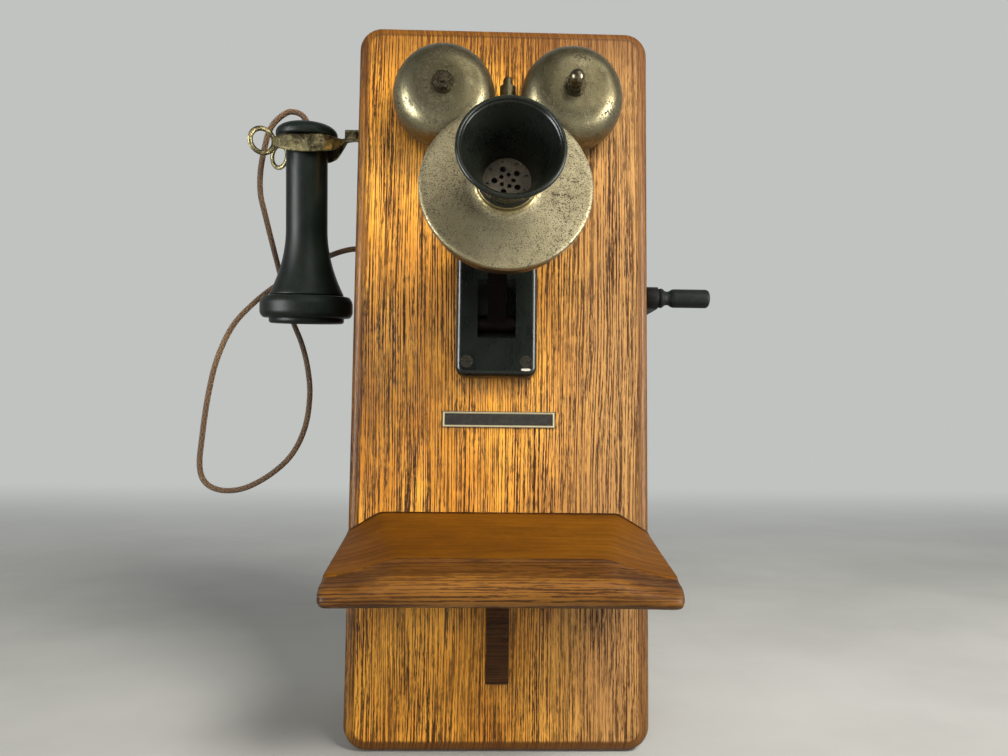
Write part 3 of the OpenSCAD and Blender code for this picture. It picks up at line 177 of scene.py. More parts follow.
def oak(name, across, along, tones, gap=0.0017, lines=1.0, gloss=0.36, coat=0.08, edge=None,
        right=0.0, band=None, seed=0.0):
    """Varnished oak: ragged dark strokes over a cloudy golden ground, with pale ray flecks.

    The tones are light, middle, sheen, stroke and shade: the sheen tone is a painted sheen that
    greys the door towards its right side, and the shade tone paints shade on the door's rounded
    edge and also darkens the door's head and the nose's band. The strokes stand about gap apart.
    """
    light, middle, sheen_tone, stroke, shade = tones
    s = Shader(name)
    x, y, z = s.split(s.place)

    def distance(axis):
        return s.plus(s.plus(s.times(x, axis[0]), s.times(y, axis[1])), s.times(z, axis[2]))

    u = s.plus(distance(across), seed)
    v = distance(along)

    def grain(side, fine, long, shift, detail, rough=0.5):
        """Noise drawn out along the grain, with its scales across and along it."""
        place = s.join(s.times(side, fine), s.times(v, long), seed + shift)
        return s.noise(place, 1.0, detail, rough)

    drift = s.plus(grain(u, 9.0, 2.2, 0.0, 2.0), -0.5)
    sway = s.plus(grain(u, 70.0, 9.0, 0.0, 3.0), -0.5)
    moved = s.plus(u, s.plus(s.times(drift, 0.012), s.times(sway, 0.0032)))
    ring = grain(moved, 2.0 / gap, 5.0, 1.0, 1.0)
    dash = grain(moved, 2.4 / gap, 36.0, 2.5, 2.0)
    nick = s.plus(grain(u, 1300.0, 170.0, 2.0, 2.0, 0.6), -0.5)
    strength = s.span(grain(u, 42.0, 8.0, 3.0, 3.0), 0.3, 0.6, 0.65, 1.0)
    fleck = s.span(grain(u, 75.0, 60.0, 5.0, 3.0), 0.58, 0.72)
    pore = s.span(grain(u, 1900.0, 110.0, 4.0, 2.0), 0.54, 0.70)
    patch = grain(u, 22.0, 9.0, 7.0, 4.0, 0.6)
    ragged = s.plus(s.plus(s.times(ring, 0.55), s.times(dash, 0.45)), s.times(nick, 0.26))
    line = s.span(ragged, 0.44, 0.555)
    depth = s.times(strength, s.span(fleck, 0.0, 1.0, 1.0, 0.7))
    dark = s.times(s.plus(line, s.times(pore, 0.3)), depth)
    dark = s.math("MINIMUM", s.times(dark, lines), 1.0)

    tone = s.mix(s.span(patch, 0.32, 0.68), light, middle)
    tone = s.mix(s.times(fleck, 0.3), tone, light)
    # Painted sheen: the door greys towards its right side, standing for the varnish's sheen under
    # the light
    if right:
        tone = s.mix(s.times(s.span(x, *DOOR_SHEEN_X), right), tone, sheen_tone)
    if band:
        rear, front = band
        dim = s.between(y, (front - 0.004, front + 0.003), (rear, rear + 0.001))
        tone = s.mix(s.times(dim, 0.75), tone, shade)
    tone = s.mix(dark, tone, stroke)
    clouds = s.noise(s.stretch(s.place, (26.0, 26.0, 15.0)), 1.0, 5.0, 0.62)
    tone = s.mix(s.times(s.span(clouds, 0.55, 0.78), 0.4), tone, stroke)
    if edge:
        inside = inside_rectangle(s, x, z, *edge)
        tone = s.mix(s.times(s.span(z, *DOOR_HEAD), 0.6), tone, shade)
        # Painted shade on the door's rounded edge, deeper along its foot
        foot = s.plus(s.times(s.span(z, *DOOR_FOOT, 1.0, 0.0), 0.25), 0.65)
        tone = s.mix(s.times(s.span(inside, *DOOR_RIM_SHADE), foot), tone, shade)
        # Painted shade: a dark line in the quirk where the face steps down to its edge
        tone = s.mix(s.times(s.between(inside, *DOOR_QUIRK_SHADE), 0.4), tone, stroke)
    rough = s.plus(s.times(dark, 0.14), s.plus(s.times(patch, 0.16), gloss - 0.08))
    s.bump(s.plus(s.times(line, -0.6), s.times(pore, -0.4)), 0.00016)
    return s.set(Base_Color=tone, Roughness=rough, Coat_Weight=coat, Coat_Roughness=0.16,
                 Specular_IOR_Level=0.08 + coat)


PIT_DARK = (0.03, 0.023, 0.013)


def aged_metal(name, tones, pits=0.5, rough=0.34, metallic=1.0, mottle=28.0, pit_scale=520.0,
               fine=0.0):
    """Old plated metal: cloudy tarnish, dark pits in patches and fine specks."""
    s = Shader(name)
    cloud = s.noise(s.place, mottle, 4.0, 0.6)
    haze = s.noise(s.place, mottle * 7.0, 3.0, 0.6)
    tone = s.mix(s.span(cloud, 0.34, 0.66), tones[0], tones[1])
    tone = s.mix(s.times(s.span(haze, 0.42, 0.75), 0.6), tone, tones[2])
    spot = s.noise(s.place, pit_scale, 2.0, 0.5)
    where = s.noise(s.place, mottle * 2.1, 3.0, 0.6)
    limit = s.span(where, 0.34, 0.7, 0.76 - 0.06 * pits, 0.64 - 0.12 * pits)
    pit = s.span(s.math("SUBTRACT", spot, limit), 0.0, 0.05)
    speck = s.span(s.noise(s.place, pit_scale * 1.9, 2.0, 0.55), 0.53, 0.62)
    pit = s.math("MAXIMUM", pit, s.times(speck, fine))
    tone = s.mix(s.times(pit, 0.9), tone, PIT_DARK)
    s.bump(s.plus(s.times(pit, -1.0), s.times(haze, 0.1)), 0.00005)
    roughness = s.plus(s.plus(s.times(haze, 0.22), s.times(pit, 0.3)), rough - 0.1)
    metal = s.span(pit, 0.0, 1.0, metallic, metallic * 0.4)
    return s.set(Base_Color=tone, Metallic=metal, Roughness=roughness)


BARE_METAL = (0.60, 0.58, 0.50)


def black_finish(name, tones, rough=0.3, coat=0.0, wear=0.15, shine=0.35, chip=None):
    """Black rubber or enamel with a dusty bloom and fine scuffs.

    The chip, where there is one, is a bare spot given by its x, z and half sizes.
    """
    s = Shader(name)
    bloom = s.noise(s.place, 45.0, 4.0, 0.6)
    scuff = s.noise(s.stretch(s.place, (1.0, 1.0, 0.25)), 720.0, 3.0, 0.6)
    speck = s.span(s.cells(s.place, 330.0), 0.02, 0.07, 1.0, 0.0)
    few = s.span(s.noise(s.place, 90.0, 1.0), 0.66, 0.72)
    tone = s.mix(s.span(bloom, 0.35, 0.7), tones[0], tones[1])
    tone = s.mix(s.times(s.span(scuff, 0.52, 0.75), wear), tone, tones[2])
    tone = s.mix(s.times(s.times(speck, few), 0.8), tone, tones[2])
    if chip:
        x, _, z = s.split(s.place)
        across = s.times(s.plus(x, -chip[0]), 1.0 / chip[2])
        up = s.times(s.plus(z, -chip[1]), 1.0 / chip[3])
        away = s.plus(s.times(across, across), s.times(up, up))
        bare = s.span(s.plus(away, s.noise(s.place, 900.0, 2.0)), 0.9, 1.2, 1.0, 0.0)
        tone = s.mix(bare, tone, BARE_METAL)
    s.bump(scuff, 0.00002)
    roughness = s.plus(s.times(bloom, 0.2), s.plus(s.times(scuff, 0.12), rough - 0.14))
    return s.set(Base_Color=tone, Roughness=roughness, Coat_Weight=coat, Coat_Roughness=0.12,
                 Specular_IOR_Level=shine)


def lacquer(name, tones, rough):
    """Two cloudy tones with a fine surface."""
    s = Shader(name)
    cloud = s.noise(s.place, 60.0, 4.0, 0.6)
    fine = s.noise(s.place, 540.0, 2.0)
    tone = s.mix(s.span(cloud, 0.3, 0.7), tones[0], tones[1])
    s.bump(fine, 0.00005)
    return s.set(Base_Color=tone, Roughness=s.plus(s.times(fine, 0.2), rough - 0.1))


def dry_cell(name, tones, top):
    """Paper jacket with pale border lines, a dark pitch top and brass posts.

    The jacket's upper end is at the height top.
    """
    paper, worn, border, pitch, brass_tone = tones
    s = Shader(name)
    z = s.split(s.place)[2]
    cloud = s.noise(s.place, 60.0, 4.0, 0.6)
    fine = s.noise(s.place, 540.0, 2.0)
    tone = s.mix(s.span(cloud, 0.3, 0.7), paper, worn)
    for drop in (0.012, 0.015, 0.135, 0.138):
        at = top - drop
        line = s.between(z, (at - 0.0007, at - 0.0004), (at + 0.0004, at + 0.0007))
        tone = s.mix(s.times(line, 0.8), tone, border)
    tone = s.mix(s.span(z, top - 0.0012, top - 0.0008), tone, pitch)
    post = s.span(z, top + 0.0002, top + 0.0006)
    tone = s.mix(post, tone, brass_tone)
    s.bump(fine, 0.00005)
    rough = s.span(post, 0.0, 1.0, 0.65, 0.35)
    return s.set(Base_Color=tone, Roughness=rough, Metallic=post)


def wound(name, tones, axis, pitch):
    """Turns of covered wire round a coil."""
    s = Shader(name)
    place = dict(zip("xyz", s.split(s.place)))
    wave = s.math("SINE", s.times(place[axis], 2.0 * math.pi / pitch))
    tone = s.mix(s.span(wave, -0.8, 0.8), tones[0], tones[1])
    s.bump(wave, 0.0002)
    return s.set(Base_Color=tone, Roughness=0.7)


BRAID_TURNS = 6.0
BRAID_PITCH = 0.006


def braid(name, tones):
    """Braided cotton over the cord, by its own length and turn."""
    s = Shader(name)
    u, v, _ = s.split(s.uv)
    turn = s.times(u, BRAID_TURNS * 2.0 * math.pi)
    climb = s.times(v, 2.0 * math.pi / BRAID_PITCH)
    one = s.math("SINE", s.plus(turn, climb))
    two = s.math("SINE", s.math("SUBTRACT", turn, climb))
    weave = s.math("MAXIMUM", one, two)
    fuzz = s.noise(s.place, 900.0, 3.0)
    worn = s.noise(s.place, 38.0, 3.0)
    tone = s.mix(s.span(weave, -0.2, 0.9), tones[0], tones[1])
    tone = s.mix(s.times(s.span(worn, 0.45, 0.7), 0.6), tone, tones[2])
    tone = s.mix(s.times(fuzz, 0.3), tone, tones[0])
    s.bump(s.plus(weave, s.times(fuzz, 0.6)), 0.00025)
    return s.set(Base_Color=tone, Roughness=0.85, Sheen_Weight=0.25, Sheen_Roughness=0.5)


PLATE_LINE = ((-0.0017, -0.0014), (-0.0006, -0.0003))
PLATE_CORNER_R = 0.0004


def bordered_plate(name, middle, half_w, half_h, tones):
    """Dark plate with a light line inside its edge."""
    s = Shader(name)
    x, _, z = s.split(s.place)
    x, z = s.plus(x, -middle[0]), s.plus(z, -middle[1])
    line = s.between(inside_rectangle(s, x, z, half_w, half_h, PLATE_CORNER_R), *PLATE_LINE)
    wear = s.noise(s.place, 260.0, 4.0, 0.6)
    tone = s.mix(s.span(wear, 0.4, 0.75), tones[0], tones[1])
    tone = s.mix(s.times(line, s.span(wear, 0.62, 0.78, 1.0, 0.45)), tone, tones[2])
    s.bump(wear, 0.00004)
    return s.set(Base_Color=tone, Roughness=0.42, Metallic=s.times(line, 0.6))


# Meshes
def mesh_object(name, verts, faces, uvs=None):
    mesh = bpy.data.meshes.new(name)
    mesh.from_pydata([tuple(v) for v in verts], [], faces)
    if uvs:
        layer = mesh.uv_layers.new(name="UVMap")
        flat = [c for face in uvs for uv in face for c in uv]
        layer.data.foreach_set("uv", flat)
    mesh.update()
    obj = bpy.data.objects.new(name, mesh)
    bpy.context.scene.collection.objects.link(obj)
    mesh.polygons.foreach_set("use_smooth", [True] * len(mesh.polygons))
    return obj


def fillet(points, steps):
    """Rounds the corners of a profile: each point is (radius, height, corner radius)."""
    out = []
    last = len(points) - 1
    for i, p in enumerate(points):
        r = p[2] if len(p) > 2 else 0.0
        here = Vector(p[:2])
        if not r or i in (0, last):
            out.append(here)
            continue
        a = (Vector(points[i - 1][:2]) - here)
        b = (Vector(points[i + 1][:2]) - here)
        reach = min(r, 0.49 * a.length, 0.49 * b.length)
        start = here + a.normalized() * reach
        end = here + b.normalized() * reach
        for k in range(steps + 1):
            t = k / steps
            out.append(start * (1 - t) ** 2 + here * 2 * t * (1 - t) + end * t ** 2)
    return out


def lathe(name, profile, place, turns, steps=5):
    """Turned piece: the profile is (radius, height) in millimetres, along its whole surface."""
    points = fillet(profile, steps)
    verts = []
    rings = []
    for p in points:
        if p[0] < 1e-6:
            rings.append([len(verts)])
            verts.append(Vector((0, 0, p[1])))
            continue
        rings.append(list(range(len(verts), len(verts) + turns)))
        for k in range(turns):
            a = 2 * math.pi * k / turns
            verts.append(Vector((p[0] * math.cos(a), p[0] * math.sin(a), p[1])))
    faces = []
    for one, two in zip(rings, rings[1:]):
        for k in range(turns):
            n = (k + 1) % turns
            if len(one) == 1 and len(two) == 1:
                continue
            if len(one) == 1:
                faces.append((one[0], two[k], two[n]))
            elif len(two) == 1:
                faces.append((one[k], one[n], two[0]))
            else:
                faces.append((one[k], one[n], two[n], two[k]))
    return tidy_normals(mesh_object(name, [place @ (v * MM) for v in verts], faces))


def tidy_normals(obj):
    bm = bmesh.new()
    bm.from_mesh(obj.data)
    bmesh.ops.recalc_face_normals(bm, faces=bm.faces)
    bm.to_mesh(obj.data)
    bm.free()
    even = obj.modifiers.new("Even", "WEIGHTED_NORMAL")
    even.weight = 90
    even.keep_sharp = True
    return obj


def loft(name, sections):
    """Skin over a row of closed sections with the same number of points, in millimetres."""
    count = len(sections[0])
    verts = [p * MM for section in sections for p in section]
    faces = []
    for i in range(len(sections) - 1):
        for k in range(count):
            n = (k + 1) % count
            faces.append((i * count + k, i * count + n, (i + 1) * count + n, (i + 1) * count + k))
    faces.append(tuple(range(count))[::-1])
    faces.append(tuple((len(sections) - 1) * count + k for k in range(count)))
    return tidy_normals(mesh_object(name, verts, faces))


WELD_WITHIN = 0.000005
SHARP_ANGLE = math.radians(35.0)


def soften(obj, width):
    """Rounds the sharp edges of a carried-over node."""
    weld = obj.modifiers.new("Weld", "WELD")
    weld.merge_threshold = WELD_WITHIN
    bevel = obj.modifiers.new("Bevel", "BEVEL")
    bevel.width = width * MM
    bevel.segments = 2
    bevel.limit_method = "ANGLE"
    bevel.angle_limit = SHARP_ANGLE
    bevel.harden_normals = True
    bevel.use_clamp_overlap = True


def dress(obj, material):
    obj.data.materials.clear()
    obj.data.materials.append(material)


def place_piece(obj, body, slot, material, *nodes):
    dress(obj, material)
    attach(obj, body)
    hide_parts(*nodes)


def paint(obj, material, place, wanted):
    """Gives a further material to the faces whose middle, in the piece's own frame, is wanted."""
    obj.data.materials.append(material)
    index = len(obj.data.materials) - 1
    back = place.inverted()
    for polygon in obj.data.polygons:
        p = back @ polygon.center / MM
        if wanted(math.hypot(p.x, p.y), p.z):
            polygon.material_index = index


# Colours, as linear values: light, middle, sheen, stroke and shade of each wood; the sheen tone is
# a painted sheen, and the shade tone paints shade on the door's rounded edge
OAK = ((0.96, 0.455, 0.056), (0.58, 0.228, 0.018), (0.38, 0.215, 0.085),
       (0.046, 0.016, 0.0025), (0.11, 0.039, 0.0065))
SHELF_OAK = ((0.19, 0.070, 0.003), (0.125, 0.042, 0.002), (0.15, 0.055, 0.010),
             (0.050, 0.018, 0.003), (0.085, 0.031, 0.006))
NOSE_OAK = ((0.24, 0.102, 0.016), (0.14, 0.055, 0.007), (0.15, 0.055, 0.010),
            (0.045, 0.016, 0.003), (0.085, 0.031, 0.006))
SIDE_OAK = ((0.30, 0.11, 0.014), (0.21, 0.072, 0.008), (0.2, 0.08, 0.02),
            (0.06, 0.020, 0.005), (0.09, 0.036, 0.01))
RAW_WOOD = ((0.46, 0.29, 0.14), (0.38, 0.22, 0.10), (0.36, 0.2, 0.09),
            (0.20, 0.11, 0.045), (0.2, 0.1, 0.04))
STRUT_OAK = ((0.075, 0.030, 0.008), (0.05, 0.020, 0.005), (0.05, 0.02, 0.006),
             (0.018, 0.008, 0.003), (0.03, 0.012, 0.004))

UPRIGHT = (0, 0, 1)
LEVEL = (1, 0, 0)
DOOR_EDGE = (0.1025, 0.2495, 0.016)
NOSE_BAND = (-0.2255, -0.2365)
ENAMEL_CHIP = (0.01645, 0.0044, 0.0042, 0.0014)
CELL_TOP = -0.0805
PLATE_MIDDLE = (-0.001, -0.0288)
PLATE_HALF = (0.0385, 0.0055)
door_oak = oak("oak_door", (1, 0.4, 0), UPRIGHT, OAK, edge=DOOR_EDGE, right=0.8)
side_oak = oak("oak_sides", (0.3, 1, 0), UPRIGHT, SIDE_OAK, seed=1.7)
cap_oak = oak("oak_ends", (0, 1, 0.3), LEVEL, SIDE_OAK, seed=2.9)
shelf_oak = oak("oak_shelf", (0, 1, 0.6), LEVEL, SHELF_OAK, gloss=0.5, coat=0.0, lines=0.5,
                seed=4.1)
nose_oak = oak("oak_nose", (0, 0.35, 1), LEVEL, NOSE_OAK, gap=0.0020, gloss=0.40, coat=0.06,
               band=NOSE_BAND, seed=5.3)
strut_oak = oak("oak_strut", (0, 0.3, 1), LEVEL, STRUT_OAK, gap=0.0019, gloss=0.5, coat=0.0,
                lines=0.9, seed=6.1)
inner_wood = oak("inner_wood", (1, 0.5, 0), UPRIGHT, RAW_WOOD, gap=0.005, gloss=0.6, coat=0.0,
                 lines=0.5, seed=8.3)

gong_metal = aged_metal(
    "nickel_gong", ((0.25, 0.225, 0.135), (0.18, 0.155, 0.083), (0.10, 0.08, 0.04)),
    pits=1.0, rough=0.31, pit_scale=700.0, fine=0.7)
face_metal = aged_metal(
    "nickel_face", ((0.38, 0.335, 0.205), (0.28, 0.24, 0.138), (0.15, 0.122, 0.062)),
    pits=0.85, rough=0.42, metallic=0.8, mottle=34.0, pit_scale=780.0, fine=1.0)
neck_brass = aged_metal(
    "neck_brass", ((0.30, 0.25, 0.125), (0.20, 0.16, 0.075), (0.08, 0.06, 0.03)),
    pits=0.6, rough=0.34, fine=0.6)
cup_metal = aged_metal(
    "cup_bronze", ((0.085, 0.055, 0.026), (0.055, 0.035, 0.017), (0.022, 0.016, 0.01)),
    pits=0.4, rough=0.32, metallic=0.8, fine=0.3)
hook_metal = aged_metal(
    "brass_hook", ((0.46, 0.395, 0.20), (0.065, 0.055, 0.025), (0.022, 0.017, 0.009)),
    pits=0.9, rough=0.36, mottle=130.0, pit_scale=420.0, fine=0.7)
nut_metal = aged_metal(
    "nickel_nuts", ((0.17, 0.148, 0.095), (0.11, 0.092, 0.055), (0.045, 0.036, 0.02)),
    pits=0.5, rough=0.26, fine=0.4)
hammer_metal = aged_metal(
    "nickel_hammer", ((0.26, 0.225, 0.13), (0.18, 0.15, 0.08), (0.08, 0.062, 0.032)),
    pits=0.6, rough=0.4, fine=0.4)
grille_metal = aged_metal(
    "grille_dust", ((0.085, 0.075, 0.058), (0.055, 0.048, 0.036), (0.16, 0.13, 0.085)),
    pits=0.5, rough=0.65, metallic=0.2, fine=0.3)
brass = aged_metal(
    "plain_brass", ((0.62, 0.43, 0.16), (0.50, 0.33, 0.11), (0.30, 0.19, 0.06)),
    pits=0.2, rough=0.34)
steel = aged_metal(
    "plain_steel", ((0.36, 0.36, 0.35), (0.28, 0.28, 0.27), (0.16, 0.15, 0.14)),
    pits=0.2, rough=0.36)
screw_metal = aged_metal(
    "screw_metal", ((0.20, 0.186, 0.145), (0.12, 0.11, 0.083), (0.03, 0.026, 0.018)),
    pits=0.5, rough=0.26)
iron = aged_metal(
    "dark_iron", ((0.10, 0.095, 0.09), (0.07, 0.066, 0.062), (0.05, 0.04, 0.03)),
    pits=0.5, rough=0.55)
tin = aged_metal(
    "tin_plate", ((0.55, 0.55, 0.53), (0.45, 0.45, 0.43), (0.3, 0.29, 0.27)),
    pits=0.2, rough=0.4)

rubber = black_finish(
    "hard_rubber", ((0.0035, 0.0065, 0.0050), (0.008, 0.012, 0.0095), (0.04, 0.045, 0.036)),
    rough=0.40, wear=0.14, shine=0.20)
horn_rubber = black_finish(
    "horn_rubber", ((0.006, 0.008, 0.0055), (0.011, 0.013, 0.009), (0.035, 0.038, 0.028)),
    rough=0.26, wear=0.1, shine=0.3)
japan = black_finish(
    "black_japan", ((0.003, 0.0048, 0.0035), (0.006, 0.009, 0.0065), (0.05, 0.055, 0.045)),
    rough=0.27, coat=0.1, wear=0.08, chip=ENAMEL_CHIP)
# Painted shade: the arm's black is darker and duller than the bracket's, standing for the
# transmitter's shadow over it
arm_painted_shade_black = black_finish(
    "arm_painted_shade_black", ((0.0015, 0.0008, 0.0007), (0.003, 0.0014, 0.0012), (0.008, 0.004, 0.003)),
    rough=0.4, wear=0.05, shine=0.04)
# Near-black paint standing for the shade inside the faceplate's hollow
hollow_painted_shade = black_finish(
    "hollow_painted_shade", ((0.002, 0.002, 0.002), (0.003, 0.003, 0.003), (0.004, 0.004, 0.004)),
    rough=0.8, shine=0.1)
crank_black = black_finish(
    "crank_black", ((0.005, 0.005, 0.005), (0.009, 0.009, 0.008), (0.03, 0.03, 0.027)),
    rough=0.45, wear=0.2, shine=0.14)
handle_black = black_finish(
    "handle_black", ((0.006, 0.0075, 0.007), (0.011, 0.013, 0.012), (0.035, 0.04, 0.035)),
    rough=0.5, wear=0.2, shine=0.16)

magnet_red = lacquer("magnet_red", ((0.30, 0.03, 0.018), (0.22, 0.022, 0.014)), 0.4)
cell_paper = dry_cell(
    "cell_paper", ((0.30, 0.045, 0.025), (0.22, 0.03, 0.018), (0.62, 0.50, 0.28),
                   (0.02, 0.018, 0.016), (0.55, 0.38, 0.14)), CELL_TOP)
coil_green = wound("coil_green", ((0.02, 0.06, 0.03), (0.05, 0.12, 0.06)), "x", 0.0012)
coil_red = wound("coil_red", ((0.10, 0.018, 0.012), (0.22, 0.04, 0.025)), "z", 0.0011)
coil_brown = wound("coil_brown", ((0.08, 0.04, 0.015), (0.17, 0.09, 0.035)), "y", 0.001)
cord_brown = braid(
    "cord_braid", ((0.062, 0.031, 0.012), (0.150, 0.080, 0.031), (0.21, 0.122, 0.052)))
plate_dark = bordered_plate(
    "plate_dark", PLATE_MIDDLE, *PLATE_HALF,
    ((0.012, 0.011, 0.009), (0.03, 0.027, 0.02), (0.55, 0.48, 0.30)))

# Looks of the nodes that are carried over as they are
LOOKS = {
    door_oak: ["door"],
    side_oak: ["side_left", "side_right"],
    cap_oak: ["case_top", "case_bottom"],
    strut_oak: ["shelf_bracket"],
    inner_wood: ["backboard", "generator_shelf", "battery_cleat", "terminal_strip", "coil_bobbin"],
    nut_metal: ["gong_posts"],
    hammer_metal: ["clapper"],
    hook_metal: ["hook_lever"],
    japan: ["transmitter_bracket"],
    arm_painted_shade_black: ["transmitter_arm"],
    crank_black: ["crank_arm"],
    rubber: ["cord_bushing"],
    grille_metal: ["mouthpiece_grille"],
    brass: ["hinge_leaves_case", "hinge_leaves_door", "crank_bushing", "hook_frame",
            "contact_springs", "generator_frame", "terminal_posts", "door_catch", "door_strike",
            "drive_gear", "armature_pinion"],
    steel: ["hinge_pins", "hook_pin", "crank_shaft", "receiver_diaphragm"],
    screw_metal: ["bracket_screws", "bracket_pin"],
    iron: ["pole_shoes", "armature_core", "ringer_frame"],
    magnet_red: ["horseshoe_magnets", "ringer_magnet"],
    tin: ["condenser"],
    cell_paper: ["dry_cells"],
    coil_green: ["coil_winding"],
    coil_red: ["ringer_coils"],
    coil_brown: ["armature_winding"],
    plate_dark: ["name_plate"],
}
for material, names in LOOKS.items():
    for name in names:
        dress(NODES[name], material)

# Gongs: spun domes with a rolled rim and a flat crown
GONG_AT = (2.6, -158.0, 190.5)
GONG_PITCH = 86.9
GONG_OUT = (34.9, 25.0)
GONG_IN = (32.9, 23.0)
GONG_RIM = [(33.2, -0.2), (34.2, -0.3), (34.9, 0.3)]
GONG_HOLE_R = 5.0
CROWN_R = 8.0
TO_FRONT = Matrix.Rotation(math.radians(90), 4, "X")


def dome(r, h, steps=26):
    curve = []
    for i in range(steps + 1):
        a = math.radians(90.0 * i / steps)
        curve.append((CROWN_R + (r - CROWN_R) * math.cos(a) ** 0.62, h * math.sin(a) ** 0.8))
    return curve


gong_profile = [(GONG_HOLE_R, GONG_IN[1])] + dome(*GONG_IN)[::-1] + GONG_RIM
gong_profile += dome(*GONG_OUT)[1:] + [(GONG_HOLE_R, GONG_OUT[1])]
for side, name in ((-1, "gong_left"), (1, "gong_right")):
    middle = mm(GONG_AT[0] + side * GONG_PITCH / 2, *GONG_AT[1:])
    gong = lathe(name + "_spun", gong_profile, Matrix.Translation(middle) @ TO_FRONT, turns=128)
    place_piece(gong, "door", "nickel", gong_metal, name)

# Transmitter: faceplate, cup and mouthpiece turned about one axis
FACE_AT = (-0.1, -248, 101)
FACE_TURN = math.radians(1.5)
FACE_TILT = math.radians(82.5)
FACE = (Matrix.Translation(mm(*FACE_AT)) @ Matrix.Rotation(FACE_TURN, 4, "Z")
        @ Matrix.Rotation(FACE_TILT, 4, "X"))
HOLLOW_R, HOLLOW_TOP = 14.6, 4.9
NECK_R, NECK_FOOT = 19.4, 0.1
face = lathe("faceplate_spun", [
    (0.0, 2.8), (14.5, 2.8), (14.5, 5.0, 0.2), (16.9, 5.0, 0.5), (17.0, 2.0, 2.4),
    (21.0, 0.15, 2.4), (33.0, 0.1), (47.4, 0.0, 1.4), (49.4, -0.9, 0.9), (49.6, -3.2, 0.8),
    (49.2, -5.0, 0.5), (46.7, -5.0), (46.7, -2.2)], FACE, turns=160)
place_piece(face, "transmitter", "faceplate", face_metal, "transmitter_face")
# Painted shade: the hollow's floor behind the grille goes near black
paint(face, hollow_painted_shade, FACE, lambda r, z: r < HOLLOW_R and z < HOLLOW_TOP)
paint(face, neck_brass, FACE, lambda r, z: HOLLOW_R <= r < NECK_R and z > NECK_FOOT)
cup = lathe("cup_spun", [(0.0, -26.0), (46.6, -26.0, 11.0), (46.6, -2.2)], FACE, turns=128,
            steps=10)
place_piece(cup, "transmitter", "japan", cup_metal, "transmitter_cup")
HORN_STEPS = 24
HORN_Z = (5.0, 41.6)
HORN_R = (13.5, 25.3)
HORN_FLARE = 1.7
HORN_WALL = 2.6
HORN_LIP = [
    (25.6, 42.2), (26.2, 42.5), (26.3, 43.2), (26.7, 43.8), (27.4, 44.0), (28.1, 43.7),
    (28.6, 43.0), (28.7, 42.2), (28.4, 41.4), (27.9, 40.8)]
HORN_FOOT = [(16.4, 8.9), (16.9, 8.6), (17.1, 7.9), (17.0, 7.1), (16.5, 6.7), (16.5, 5.05)]


def horn(i, wall=0.0):
    t = i / HORN_STEPS
    r = HORN_R[0] + (HORN_R[1] - HORN_R[0]) * t ** HORN_FLARE
    return r + wall, HORN_Z[0] + (HORN_Z[1] - HORN_Z[0]) * t


horn_profile = [horn(i) for i in range(HORN_STEPS + 1)] + HORN_LIP
horn_profile += [horn(i, HORN_WALL) for i in range(HORN_STEPS - 2, 2, -1)] + HORN_FOOT
mouthpiece = lathe("mouthpiece_turned", horn_profile, FACE, turns=144)
place_piece(mouthpiece, "transmitter", "hard_rubber", horn_rubber, "mouthpiece")

# Receiver: turned shell and ear cap, leaning with the fork
LEAN = math.radians(7.0)
LEANING = Matrix.Rotation(LEAN, 4, "X")
TAIL = Vector((-150.5, -90.0, 190.4))
HANG = Matrix.Translation(TAIL * MM) @ LEANING @ Matrix.Translation(mm(0, 0, -TAIL.z))
FLARE_STEPS = 20
FLARE_R = (15.7, 12.3)
FLARE_Z = (68.0, 50.0)
CROWN_STEPS = 12
END_CROWN_R = (6.5, 16.8)
END_CROWN_Z = (190.6, 7.6)
DISH_STEPS = 10
DISH_R = (4.5, 20.0)
DISH_Z = (45.0, 7.5)
flare = []
for i in range(FLARE_STEPS + 1):
    t = i / FLARE_STEPS
    flare.append((FLARE_R[0] + FLARE_R[1] * (1 - t) ** 2, FLARE_Z[0] + FLARE_Z[1] * t))
crown = []
for i in range(CROWN_STEPS + 1):
    a = math.radians(90 * i / CROWN_STEPS)
    crown.append((END_CROWN_R[0] + END_CROWN_R[1] * abs(math.cos(a)) ** 0.8,
                  END_CROWN_Z[0] + END_CROWN_Z[1] * math.sin(a)))
dish = []
for i in range(DISH_STEPS + 1):
    t = i / DISH_STEPS
    dish.append((DISH_R[0] + DISH_R[1] * t, DISH_Z[0] + DISH_Z[1] * (1 - t ** 2)))
shell = lathe("receiver_shell_turned", [(0.0, 66.2), (28.0, 66.2), (28.1, 67.2)] + flare + [
    (15.7, 150.0), (15.7, 187.2, 0.6), (22.6, 187.2, 0.8), (23.3, 188.6, 0.8)] + crown + [
    (5.2, 198.5, 0.5), (2.6, 198.3, 0.4), (2.5, 195.0)], HANG, turns=96)
place_piece(shell, "receiver", "hard_rubber", rubber, "receiver_shell")
cap = lathe("ear_cap_turned", [(4.5, 56.5)] + dish + [
    (27.2, 45.0, 0.8), (28.5, 46.2, 0.8), (28.5, 49.0, 0.6), (33.2, 49.4, 1.5), (35.3, 52.6, 2.5),
    (35.3, 61.5, 3.0), (32.9, 65.6, 0.8), (31.2, 66.0, 0.4), (28.3, 66.0)], HANG, turns=96)
place_piece(cap, "receiver", "hard_rubber", rubber, "receiver_cap")

